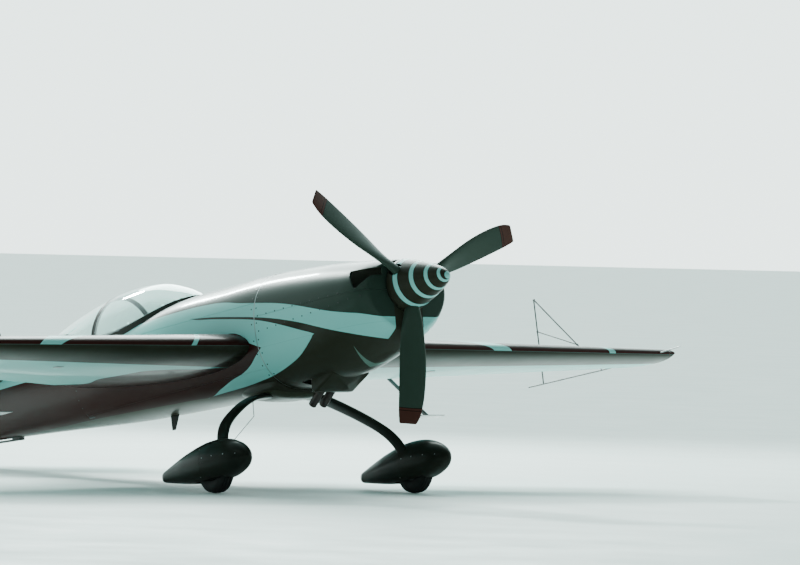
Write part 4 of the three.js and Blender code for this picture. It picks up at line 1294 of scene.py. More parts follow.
@dataclass
class Hull:
    """The fuselage's outer shape, which every skin is cut from.

    Attributes:
        rows: Station, half width, top, bottom, widest height and the two corner powers.
        sides: Points round a section.
        step: Distance between sections.
    """

    rows: Table = (
        (500, 335, 184, -325, -40, 2.2, 1.9), (600, 388, 203, -385, -40, 2.2, 1.9),
        (850, 408, 232, -468, -50, 2.3, 2.0), (1160, 412, 263, -530, -60, 2.4, 2.1),
        (1800, 405, 300, -550, -80, 2.5, 2.3), (2400, 400, 300, -536, -100, 2.5, 2.4),
        (2950, 392, 296, -518, -110, 2.5, 2.5), (3450, 374, 240, -502, -120, 2.5, 2.5),
        (3930, 345, 215, -483, -120, 2.4, 2.5), (4400, 298, 235, -452, -110, 2.3, 2.4),
        (4850, 245, 290, -420, -90, 2.1, 2.3), (5400, 172, 222, -385, -80, 2.1, 2.2),
        (6000, 90, 160, -351, -90, 2.0, 2.0), (6260, 45, 136, -336, -90, 2.0, 2.0),
    )
    sides: int = 96
    step: float = 45
    nose_radius: float = 16
    forms: dict[float, Piece] = field(default_factory=dict)

    def ring(self, station: float, grow: float) -> list[Point]:
        """One section of the hull.

        Args:
            station: Where it is.
            grow: How far it stands out from the outer shape.

        Returns:
            The points round it.
        """
        half, top, bottom, waist, upper, lower = read_table(self.rows, station)
        return section(station, half + grow, top + grow, bottom - grow, waist, (upper, lower), self.sides)

    def form(self, grow: float = 0) -> Piece:
        """The whole hull, closed and a little larger or smaller; kept for later cuts.

        Args:
            grow: How much larger it is all round.

        Returns:
            The closed form, which isn't to be changed.
        """
        if grow not in self.forms:
            first, last = self.rows[0][0], self.rows[-1][0]
            r = self.nose_radius
            rings = [
                self.ring(first + r * (1 - math.cos(a)), grow - r * (1 - math.sin(a)))
                for a in spread(0, math.pi / 2, math.pi / 12)
            ]
            rings += [self.ring(s, grow) for s in spread(first + r + 24, last, self.step)]
            self.forms[grow] = loft(f"hull_form_{grow}", rings)
        return self.forms[grow]

    def solid(self, name: str, front: float, rear: float, grow: float = 0) -> Piece:
        """A closed length of the hull."""
        return work(copy_of(self.form(grow), name), "INTERSECT", block(front, rear, -FAR, FAR, -FAR, FAR))

    def clear(self) -> None:
        """Throws the kept forms away."""
        for piece in self.forms.values():
            bpy.data.objects.remove(piece)
        self.forms.clear()

    def surface(self, station: float, angle: float) -> tuple[Point, Vector]:
        """A point on the hull and the way out from it.

        Args:
            station: Where it is.
            angle: Direction round the section, in degrees up from the left side.

        Returns:
            The point, and a vector straight out.
        """
        def at(s: float, a: float) -> Vector:
            """The hull's point at a station and a direction."""
            half, top, bottom, waist, upper, lower = read_table(self.rows, s)
            return Vector(section_point(s, half, top, bottom, waist, (upper, lower), math.radians(a)))

        here = at(station, angle)
        out = (at(station, angle + 1) - here).cross(at(station - 20, angle) - here)
        if out.dot(Vector((0, here.y, here.z + 60))) < 0:
            out.negate()
        return tuple(here), out.normalized()


def section_point(
    station: float, half: float, top: float, bottom: float, waist: float,
    powers: tuple[float, float], angle: float,
) -> Point:
    """A point round a section, whose upper and lower halves have corner powers of their own.

    Args:
        station: Where it lies.
        half: Half its width.
        top: Height of its top.
        bottom: Height of its bottom.
        waist: Height of its widest place.
        powers: Corner powers of the upper and the lower half; 2 is an ellipse.
        angle: Direction, up from the left side.

    Returns:
        The point.
    """
    across, up = math.cos(angle), math.sin(angle)
    power = 2 / (powers[0] if up >= 0 else powers[1])
    reach = top - waist if up >= 0 else waist - bottom
    return -station, half * signed_power(across, power), waist + reach * signed_power(up, power)


def section(
    station: float, half: float, top: float, bottom: float, waist: float,
    powers: tuple[float, float], sides: int,
) -> list[Point]:
    """The points round a section, from the left side upwards.

    Args:
        station: Where it lies.
        half: Half its width.
        top: Height of its top.
        bottom: Height of its bottom.
        waist: Height of its widest place.
        powers: Corner powers of the upper and the lower half; 2 is an ellipse.
        sides: Number of points.

    Returns:
        The points.
    """
    return [
        section_point(station, half, top, bottom, waist, powers, 2 * math.pi * i / sides)
        for i in range(sides)
    ]


def studs(name: str, spots: Sequence[tuple[Point, Vector]], radius: float, proud: float) -> Piece:
    """Domed screw heads, turned once and copied to each spot.

    Args:
        name: The new object's name.
        spots: Where each one sits, and the way out.
        radius: Radius of a head.
        proud: How far it stands out.

    Returns:
        All the heads in one object.
    """
    first = fresh(
        bpy.ops.mesh.primitive_cylinder_add, vertices=12, radius=radius * MM, depth=2 * proud * MM,
    )
    bpy.ops.object.mode_set(mode="EDIT")
    bpy.ops.mesh.select_all(action="SELECT")
    bpy.ops.mesh.bevel(offset=proud * 0.7 * MM, segments=2)
    bpy.ops.object.mode_set(mode="OBJECT")
    heads = []
    for k, (place, out) in enumerate(spots):
        head = copy_of(first, f"{name}_{k}")
        head.data.transform(
            Matrix.Translation(Vector(place) * MM) @ out.to_track_quat("Z", "Y").to_matrix().to_4x4(),
        )
        heads.append(head)
    bpy.data.objects.remove(first)
    return joined(name, heads)


@dataclass
class Fuselage:
    """Cowling, decks, side panels, belly and tail cone, with what is fixed to them."""

    shop: Workshop
    hull: Hull
    skin: float = 15
    cowl_wall: float = 10
    firewall: float = 1790
    firewall_rear: float = 1800
    deck_split: float = 3600
    cockpit_end: float = 4250
    cowl_seam: float = -30
    upper_seam: float = 70
    lower_seam: float = -400
    hole: float = 105
    inlet: Table = ((440, -18), (440, 128), (715, 128), (735, 112), (612, -4), (590, -12))
    scoop: tuple[float, ...] = (1230, 1440, 1500, 165)

    def build(self, bubble: Bubble) -> None:
        """Cuts all the skins from the hull.

        Args:
            bubble: The canopy's shape, which leaves its opening in the decks.
        """
        self.cowling()
        self.cabin(bubble)
        self.tail_cone()
        self.fasteners()

    def cowling(self) -> None:
        """Cuts the cowling, with its scoop and inlets, and parts it along its sides."""
        front, deep, rear, half = self.scoop
        whole = self.hull.solid("cowl", 0, self.firewall)
        scoop = plate(
            "scoop", [(front, -480), (front, -520), (deep, -615), (rear, -615), (rear, -480)], -half, half,
            14,
        )
        room = plate(
            "room", [(front + 40, -470), (deep, -605), (1620, -605), (1620, -470)], -half + 10, half - 10,
        )
        inside = work(copy_of(self.hull.form(-self.cowl_wall), "inside"), "INTERSECT",
                      block(512, self.firewall + 10, -FAR, FAR, -FAR, FAR))
        hole = loft("hole", [
            [(x, self.hole * math.cos(a), self.hole * math.sin(a)) for a in full_turn(64)]
            for x in (-450, -560)
        ])
        cuts = [inside, room, hole]
        cuts += [on_side(plate("mouth", self.inlet, 205, 600), side) for side in Side]
        whole = work(work(whole, "UNION", scoop), "DIFFERENCE", *cuts)
        for name, low, high in (
            ("cowl_upper", self.cowl_seam + PANEL_GAP / 2, FAR),
            ("cowl_lower", -FAR, self.cowl_seam - PANEL_GAP / 2),
        ):
            panel = work(
                copy_of(whole, f"{name}_skin"), "INTERSECT", block(0, self.firewall, -FAR, FAR, low, high),
            )
            take_gloss(panel, self.hull.form())
            self.shop.hand_over(
                panel, Body.AIRFRAME, (HULL_ENAMEL, BARE_LAMINATE), "paint_dark", [name], None,
            )
        bpy.data.objects.remove(whole)
        # Baffles and a floor sheet behind the inlets: real silicone sheet, whose olive tone also stands for
        # painted shade inside the inlets
        baffle = self.hull.solid("cowl_baffles", 742, 748, -10.5)
        work(baffle, "DIFFERENCE", bar("hole", (-700, 0, 0), (-790, 0, 0), 96, 48))
        floor = work(block(524, 741, -FAR, FAR, -76, -70), "INTERSECT", self.hull.form(-10.5), keep=True)
        self.shop.hand_over(joined("cowl_baffles", [baffle, floor]), Body.AIRFRAME, (SEAL_SHEET_AS_INLET_SHADE,), "tyre")

    def cabin(self, bubble: Bubble) -> None:
        """Cuts the hollow cockpit section and parts it into its panels.

        Args:
            bubble: The canopy's form, which gives the opening.
        """
        inside = work(copy_of(self.hull.form(-self.skin), "inside"), "INTERSECT",
                      block(self.firewall_rear - 10, self.cockpit_end + 10, -FAR, FAR, -FAR, FAR))
        opening = work(bubble.form("opening", -30), "INTERSECT", block(2000, 3880, -FAR, FAR, -FAR, FAR))
        spar = block(2529, 2661, -FAR, FAR, -286, -154)
        shell = work(
            self.hull.solid("shell", self.firewall_rear, self.cockpit_end), "DIFFERENCE", inside, opening,
            spar,
        )
        gap = PANEL_GAP / 2
        up, low, split = self.upper_seam, self.lower_seam, self.deck_split
        for name, bounds, slot in (
            ("deck_forward", (0, split - gap, -FAR, FAR, up + gap, FAR), "paint_pale"),
            ("deck_rear", (split + gap, FAR, -FAR, FAR, up + gap, FAR), "paint_pale"),
            ("side_panel_left", (0, FAR, 0, FAR, low + gap, up - gap), "paint_maroon"),
            ("side_panel_right", (0, FAR, -FAR, 0, low + gap, up - gap), "paint_maroon"),
            ("belly_panel", (0, FAR, -FAR, FAR, -FAR, low - gap), "paint_pale"),
        ):
            panel = work(copy_of(shell, f"{name}_skin"), "INTERSECT", block(*bounds))
            take_gloss(panel, self.hull.form())
            self.shop.hand_over(panel, Body.AIRFRAME, (HULL_ENAMEL, BARE_LAMINATE), slot, [name], None)
        bpy.data.objects.remove(shell)
        wall = self.hull.solid("firewall_sheet", self.firewall + 1, self.firewall_rear - 1, -0.5)
        soften(wall, 1.5)
        self.shop.hand_over(wall, Body.AIRFRAME, (ALLOY,), "engine_alloy", ["firewall"])

    def tail_cone(self) -> None:
        """Cuts the tail cone, with room for the rudder and the elevator's tube."""
        cone = self.hull.solid("tail_cone_skin", self.cockpit_end + 1, FAR)
        work(
            cone, "DIFFERENCE", rudder_form("room", cove, -410, 1070),
            bar("tube", (-ELEVATOR_HINGE, -200, 70), (-ELEVATOR_HINGE, 200, 70), 22),
        )
        take_gloss(cone, self.hull.form())
        self.shop.hand_over(
            cone, Body.AIRFRAME, (HULL_ENAMEL, HULL_ENAMEL), "paint_maroon", ["tail_cone"], None,
        )

    def fasteners(self) -> None:
        """Sets quarter-turn studs along the panel seams, and a fuel cap."""
        spots = []
        for station in (self.firewall - 22, self.firewall + 38, self.cockpit_end - 28):
            spots += [self.hull.surface(station, a) for a in range(0, 360, 12)]
        for station in spread(560, 1750, 105):
            for angle in (4.5, -5.5):
                for side in (angle, 180 - angle):
                    spots.append(self.hull.surface(station, side))
        spots = [(p, n) for p, n in spots if not (500 < -p[0] < 740 and abs(p[1]) > 200 and -20 < p[2] < 130)]
        heads = studs("panel_studs", spots, 6, 1.2)
        self.shop.hand_over(heads, Body.AIRFRAME, (POWDER_COAT,), "bare_metal")
        cap_at, out = self.hull.surface(2350, 76)
        cap = studs("fuel_cap", [(cap_at, out)], 38, 4)
        self.shop.hand_over(cap, Body.AIRFRAME, (ALLOY,), "bare_metal")


@dataclass
class PowerUnit:
    """Engine block, its mount, the exhausts and what shows through the inlets."""

    shop: Workshop
    front: float = 800
    rear: float = 1450
    top: float = 85
    bottom: float = -250
    nose: float = 60
    cylinders: int = 3
    inlet_shade_to: float = 790

    def build(self) -> None:
        """Builds the engine and the exhausts."""
        case = plate("engine_case", [
            (self.front, 60), (self.front, -150), (self.front + 60, self.bottom + 30),
            (self.rear - 60, self.bottom),
            (self.rear, self.bottom + 60), (self.rear, self.top - 30), (self.rear - 60, self.top),
            (self.front + 60, self.top),
        ], -150, 150, 18)
        nose = bar("engine_nose", (-488.5, 0, 0), (-self.front - 20, 0, 0), self.nose, 48, self.nose)
        flange = bar("engine_flange", (-700, 0, 0), (-self.front - 5, 0, 0), self.nose, 48, 110)
        work(case, "UNION", nose, flange)
        parts = [case]
        for k in range(self.cylinders):
            for sign in (1, -1):
                parts.append(self.cylinder(self.front + 120 + 200 * k + (24 if sign > 0 else 0), sign))
        for y in (230, -230):
            for z in (60, -200):
                parts.append(bar("mount", (-self.rear + 8, y * 0.62, z * 0.9), (-1789, y, z), 13, 16))
        engine = joined("engine_block", parts)
        # The engine's front takes the baffles' olive sheet: painted shade inside the inlets
        for face in engine.data.polygons:
            face.material_index = int(face.center.x > -self.inlet_shade_to * MM)
        self.shop.hand_over(engine, Body.AIRFRAME, (CAST_ALLOY, SEAL_SHEET_AS_INLET_SHADE), "engine_alloy", ["engine"], 40)
        for side in Side:
            self.exhaust(side)

    def cylinder(self, station: float, sign: int) -> Piece:
        """A cooled cylinder, whose fins stand out along its length.

        Args:
            station: Its centre line.
            sign: 1 on the left, -1 on the right.

        Returns:
            The cylinder.
        """
        profile = [(20.0, 140.0), (62.0, 140.0)]
        for at in spread(150, 290, 12):
            profile += [(62.0, at), (84.0, at + 2), (84.0, at + 5), (62.0, at + 7)]
        profile += [(60.0, 304.0), (52.0, 318.0), (20.0, 318.0)]
        return turned("cylinder", [(r, sign * d) for r, d in profile], 28, (-station, 0, -70), "y")

    def exhaust(self, side: Side) -> None:
        """Bends one exhaust pipe and cuts its end square.

        Args:
            side: Which side.
        """
        y = side.value * 46
        route = [(-1330, y, -250.3), (-1330, y, -340), (-1375, y, -480), (-1490, y, -557), (-1660, y, -680)]
        path = smooth_path(route, 32)
        pipe = loft(f"exhaust_{side.word}_pipe", tube_rings(path, [29.5] * len(path), 36))
        beyond = Vector(path[-1]) * 2 - Vector(path[-2])
        bore_path = [*path[1:], tuple(beyond)]
        work(pipe, "DIFFERENCE", loft("bore", tube_rings(bore_path, [27] * len(bore_path), 36)))
        self.shop.hand_over(
            pipe, Body.AIRFRAME, (BURNT_STEEL,), "exhaust_steel", [f"exhaust_{side.word}"],
        )
        seam = turned(
            f"exhaust_{side.word}_clamp", [(30, -9), (33.5, -9), (33.5, 9), (30, 9)], 36, (-1330, y, -300),
            "z",
        )
        soften(seam, 1)
        self.shop.hand_over(seam, Body.AIRFRAME, (STEEL,), "bare_metal")


# Wings and tail


def lerp(start: float, end: float, part: float) -> float:
    """A value between two others."""
    return start + (end - start) * part


def half_thickness(ratio: float, x: float) -> float:
    """Half thickness of a symmetric section, as a part of its chord.

    Args:
        ratio: The whole thickness as a part of the chord.
        x: Distance aft of the nose as a part of the chord.

    Returns:
        The half thickness.
    """
    return 5 * ratio * (
        0.2969 * math.sqrt(x) - 0.126 * x - 0.3516 * x ** 2 + 0.2843 * x ** 3 - 0.1036 * x ** 4
    )


def foil(chord: float, ratio: float, count: int = 34) -> list[tuple[float, float]]:
    """Points of a symmetric section, as [distance aft of the nose, offset].

    Args:
        chord: Its length.
        ratio: Thickness as a part of the chord.
        count: Points on each face.

    Returns:
        The points, from the nose over the top and back.
    """
    upper = []
    for i in range(count + 1):
        x = (1 - math.cos(math.pi * i / count)) / 2
        upper.append((x * chord, max(half_thickness(ratio, x) * chord, 2.0 if i else 0.0)))
    return upper + [(x, -z) for x, z in reversed(upper[1:])]


def flap(nose: float, reach: float) -> list[tuple[float, float]]:
    """Points of a hinged surface: a round nose about the hinge and flat flanks.

    Args:
        nose: Radius of the nose.
        reach: Length aft of the hinge.

    Returns:
        The points, as [distance aft of the hinge, offset].
    """
    flank = [(reach * k / 6, lerp(nose, 2, k / 6)) for k in range(1, 7)]
    arc = [(nose * math.cos(a), nose * math.sin(a)) for a in spread(math.pi / 2, math.pi * 1.5, math.pi / 20)]
    return [*reversed(flank), *arc, *((x, -z) for x, z in flank)]


def cove(nose: float, reach: float) -> list[tuple[float, float]]:
    """The room that a hinged surface turns in, open to the rear from lips ahead of the hinge.

    Args:
        nose: Radius of the surface's nose.
        reach: Its length aft of the hinge.

    Returns:
        The points, as [distance aft of the hinge, offset].
    """
    room, tall, lip = nose + 6, nose * 2.5 + 60, math.radians(20)
    front = -room * math.sin(lip)
    arc = [
        (room * math.cos(a), room * math.sin(a))
        for a in spread(math.pi / 2 + lip, math.pi * 1.5 - lip, math.pi / 24)
    ]
    return [(reach + 400, tall), (front, tall), *arc, (front, -tall), (reach + 400, -tall)]


def span_ring(
    points: Sequence[tuple[float, float]], station: float, span: float, height: float,
) -> list[Point]:
    """A section at one span."""
    return [(-(station + aft), span, height + up) for aft, up in points]


RUDDER_HINGE, ELEVATOR_HINGE = 6235, 6010


def fin_at(height: float) -> tuple[float, float, float, float]:
    """The fin and rudder at a height: leading edge, chord, rudder's nose and its reach.

    Args:
        height: Height of the section.

    Returns:
        The four lengths, in that order.
    """
    part = (height - 60) / 960
    lead = lerp(5430, 5960, part)
    trail = lerp(6690, 6640, max(0.0, part))
    chord = trail - lead
    nose = min(half_thickness(0.085, (RUDDER_HINGE - lead) / chord) * chord - 1, 36)
    return lead, chord, nose, trail - RUDDER_HINGE


def rudder_form(
    name: str, shape: Callable[[float, float], list[tuple[float, float]]], bottom: float, top: float,
) -> Piece:
    """Lofts the rudder, or the room that it turns in.

    Args:
        name: The new object's name.
        shape: The section, from the nose and the reach.
        bottom: Its lowest height.
        top: Its highest height.

    Returns:
        The form.
    """
    rings = []
    for height in (bottom, 60, *spread(60, top, 80)[1:]):
        _, _, nose, reach = fin_at(max(height, -40))
        rings.append([(-(RUDDER_HINGE + aft), side, height) for aft, side in shape(nose, reach)])
    return loft(name, rings)


def hinge_fixed(centre: Point, nose: float, across: bool, hole: float) -> Piece:
    """A fixed hinge lug that reaches from a cove to the hinge line.

    Args:
        centre: Where it meets the hinge line.
        nose: The moving surface's nose radius.
        across: Whether the hinge line runs along the span.
        hole: Radius of the pin's hole.

    Returns:
        The lug.
    """
    x, y, z = centre
    front = -x - nose - 25
    sizes = ((y - 4, y + 4), (z - 11, z + 11)) if across else ((y - 11, y + 11), (z - 4, z + 4))
    lug = block(front, 2 - x, *sizes[0], *sizes[1])
    offset = Vector((0, 4, 0)) if across else Vector((0, 0, 4))
    middle = Vector(centre)
    work(lug, "UNION", bar("eye", tuple(middle - offset), tuple(middle + offset), 11, 24))
    return work(
        lug, "DIFFERENCE", bar("hole", tuple(middle - offset * 2), tuple(middle + offset * 2), hole, 20),
    )


def hinge_moving(surface: Piece, centre: Point, nose: float, across: bool) -> Piece:
    """Cuts a hinge's slot in a moving surface and puts its pin in.

    Args:
        surface: The moving surface.
        centre: Where the hinge is.
        nose: The surface's nose radius.
        across: Whether the hinge line runs along the span.

    Returns:
        The pin, to be handed over on the same body.
    """
    x, y, z = centre
    wide, tall = (11, nose + 5) if across else (nose + 5, 11)
    work(surface, "DIFFERENCE", block(-x - nose - 25, 17 - x, y - wide, y + wide, z - tall, z + tall))
    reach = Vector((0, 16, 0)) if across else Vector((0, 0, 16))
    middle = Vector(centre)
    return bar("pin", tuple(middle - reach), tuple(middle + reach), 4.8, 16)


@dataclass
class Wings:
    """Both wings, with their ailerons, spades, lights, sighting frame and air-data tube."""

    shop: Workshop
    hull: Hull
    lead: float = 1853
    sweep: float = 0.090
    root_chord: float = 2311
    tip_chord: float = 777
    half_span: float = 3750
    height: float = -215
    dihedral: float = 0.008
    tip_round: float = 22
    tie_down_at: tuple[float, float] = (2480, 1650)
    light_span: float = 3690
    pitot_span: float = 3600
    hinges: tuple[float, ...] = (1000, 2300, 3500)
    spade_span: float = 1930

    def at(self, span: float) -> tuple[float, float, float, float]:
        """The wing at a span: leading edge, chord, height and thickness.

        Args:
            span: Distance out from the middle.

        Returns:
            The four values; thickness is a part of the chord.
        """
        part = span / self.half_span
        return (
            self.lead + self.sweep * span, lerp(self.root_chord, self.tip_chord, part),
            self.height + self.dihedral * span, lerp(0.125, 0.12, part),
        )

    def aileron_at(self, span: float) -> tuple[float, float, float, float]:
        """The aileron at a span: hinge station, nose radius, reach and height.

        Args:
            span: Distance out from the middle.

        Returns:
            The four lengths, in that order.
        """
        lead, chord, height, thickness = self.at(span)
        reach = lerp(290, 200, (span - 700) / 3016)
        nose = half_thickness(thickness, 1 - reach / chord) * chord - 1
        return lead + chord - reach, nose, reach, height

    def aileron_form(
        self, name: str, shape: Callable[[float, float], list[tuple[float, float]]], inner: float,
        outer: float,
    ) -> Piece:
        """Lofts an aileron, or the room that it turns in.

        Args:
            name: The new object's name.
            shape: Draws the section from nose radius and reach.
            inner: Where it starts.
            outer: Where it ends.

        Returns:
            The closed form on the left wing.
        """
        rings = []
        for span in spread(inner, outer, 200):
            hinge, nose, reach, height = self.aileron_at(span)
            rings.append(span_ring(shape(nose, reach), hinge, span, height))
        return loft(name, rings)

    def form(self, name: str) -> Piece:
        """The left wing's outer shape, rounded at the tip.

        Args:
            name: The new object's name.

        Returns:
            The closed form.
        """
        rings = [self.ring(span, 1.0) for span in spread(330, self.half_span - self.tip_round, 170)]
        for a in spread(0, math.pi / 2, math.pi / 12)[1:]:
            rings.append(
                self.ring(self.half_span - self.tip_round * (1 - math.sin(a)), max(math.cos(a), 0.12)),
            )
        return loft(name, rings)

    def ring(self, span: float, thin: float) -> list[Point]:
        """A section of the left wing, with its thickness scaled."""
        lead, chord, height, thickness = self.at(span)
        return span_ring([(x, z * thin) for x, z in foil(chord, thickness)], lead, span, height)

    def build(self) -> None:
        """Builds both sides, then what only the left wing carries."""
        for side in Side:
            self.wing(side)
            self.aileron(side)
        self.sighting_frame()
        self.pitot()

    def wing(self, side: Side) -> None:
        """Cuts one wing to the fuselage and the aileron, and adds its lugs and tie-down.

        Args:
            side: Which side.
        """
        form = on_side(self.form(f"wing_form_{side.word}"), side)
        wing = copy_of(form, f"wing_{side.word}_skin")
        room = on_side(self.aileron_form("room", cove, 685, 3726), side)
        work(wing, "DIFFERENCE", self.hull.form(0.5), keep=True)
        work(wing, "DIFFERENCE", room)
        take_gloss(wing, form)
        bpy.data.objects.remove(form)
        nodes = [f"wing_{side.word}"]
        self.shop.hand_over(wing, Body.AIRFRAME, (WING_ENAMEL, WING_ENAMEL), "paint_maroon", nodes, None)
        lugs = []
        for span in self.hinges:
            hinge, nose, _, height = self.aileron_at(span)
            lugs.append(hinge_fixed((-hinge, side.value * span, height), nose, True, 6.9))
        brackets = joined(f"wing_{side.word}_hinge_lugs", lugs)
        self.shop.hand_over(brackets, Body.AIRFRAME, (ALLOY,), "bare_metal")
        self.tie_down(side)
        self.tip_light(side)

    def tie_down(self, side: Side) -> None:
        """Adds the tie-down ring's pad under the wing.

        Args:
            side: Which side.
        """
        station, span = self.tie_down_at
        lead, chord, height, thickness = self.at(span)
        under = height - half_thickness(thickness, (station - lead) / chord) * chord
        y = side.value * span
        pad = block(station - 30, station + 30, y - 30, y + 30, under - 4, under + 6)
        soften(pad, 3)
        pad.name = f"tie_down_pad_{side.word}"
        self.shop.hand_over(pad, Body.AIRFRAME, (ALLOY,), "bare_metal")

    def tip_light(self, side: Side) -> None:
        """Lets a coloured lens into the wing tip's leading edge.

        Args:
            side: Which side.
        """
        span = self.light_span
        lead, _, height, _ = self.at(span)
        lens = on_side(loft(f"tip_light_{side.word}", [
            [(-(lead + 26) + r * math.cos(a), span + d, height + r * 0.72 * math.sin(a))
             for a in full_turn(24)]
            for r, d in ((8, -34), (20, -26), (26, -8), (26, 10), (18, 28), (8, 34))
        ]), side)
        finish = RED_LENS if side is Side.LEFT else GREEN_LENS
        self.shop.hand_over(lens, Body.AIRFRAME, (finish,), "canopy_glass")

    def aileron(self, side: Side) -> None:
        """Builds one aileron with its pins, spade and the spade's arm.

        Args:
            side: Which side.
        """
        body = Body.AILERON_LEFT if side is Side.LEFT else Body.AILERON_RIGHT
        surface = on_side(self.aileron_form(f"aileron_{side.word}_skin", flap, 700, 3716), side)
        parts = []
        for span in self.hinges:
            hinge, nose, _, height = self.aileron_at(span)
            parts.append(hinge_moving(surface, (-hinge, side.value * span, height), nose, True))
        pins = joined(f"aileron_{side.word}_pins", parts)
        self.shop.hand_over(pins, body, (STEEL,), "bare_metal")
        self.shop.hand_over(surface, body, (WING_ENAMEL,), "paint_pale", [f"aileron_{side.word}"], 50)
        hinge, nose, _, height = self.aileron_at(self.spade_span)
        y, station, low = side.value * self.spade_span, hinge - 375, height - 370
        arm = plate("arm", [
            (hinge + 50, height - nose * 0.6), (hinge + 95, height - nose * 0.6), (station + 26, low - 4),
            (station - 26, low - 4),
        ], y - 5, y + 5, 2.5)
        blade = loft(f"aileron_{side.word}_spade", [
            [(-(station + aft - 80), y + across, low - 4 + up * thin) for aft, up in foil(160, 0.05, 16)]
            for across, thin in ((-105, 0.2), (-103, 0.7), (-98, 1), (98, 1), (103, 0.7), (105, 0.2))
        ])
        self.shop.hand_over(joined(f"aileron_{side.word}_spade", [blade, arm]), body, (CARBON,), "carbon")

    def sighting_frame(self) -> None:
        """Bends the sighting frame on the left wing tip."""
        y, low, top = 3737.5, -185, (-3836, 3737.5, 474)

        def leg(foot: float, part: float) -> Point:
            """A point part of the way up a leg."""
            return lerp(-foot, top[0], part), y, lerp(low, top[2], part)

        rods = [
            bar("rod", (-2700, y, low), (-3985, y, low), 5), bar("rod", leg(3800, 0), leg(3800, 0.998), 5),
            bar("rod", leg(3070, 0), leg(3070, 0.998), 5), bar("rod", leg(3070, 0.36), leg(3800, 0.62), 4),
        ]
        for foot, part in ((3070, 0.36), (3800, 0.62), (3070, 0.998)):
            rods.append(
                turned("collar", [(3.8, -8), (6.2, -8), (6.2, 8), (3.8, 8)], 20, leg(foot, part), "x"),
            )
        frame_piece = joined("sighting_frame_rods", rods)
        self.shop.hand_over(frame_piece, Body.AIRFRAME, (POWDER_COAT,), "black_plastic", ["sighting_frame"])

    def pitot(self) -> None:
        """Turns the air-data tube with its collar at the left wing tip."""
        span = self.pitot_span
        lead, _, height, _ = self.at(span)
        tube = loft("pitot_tube_body", tube_rings(
            [(-lead + ahead, span, height + up)
             for ahead, up in ((-40, 0), (30, 3), (32, 3), (150, 8), (235, 12))],
            [5, 5, 4.4, 3.8, 3.0], 24,
        ))
        self.shop.hand_over(tube, Body.AIRFRAME, (STEEL,), "bare_metal", ["pitot_tube"])


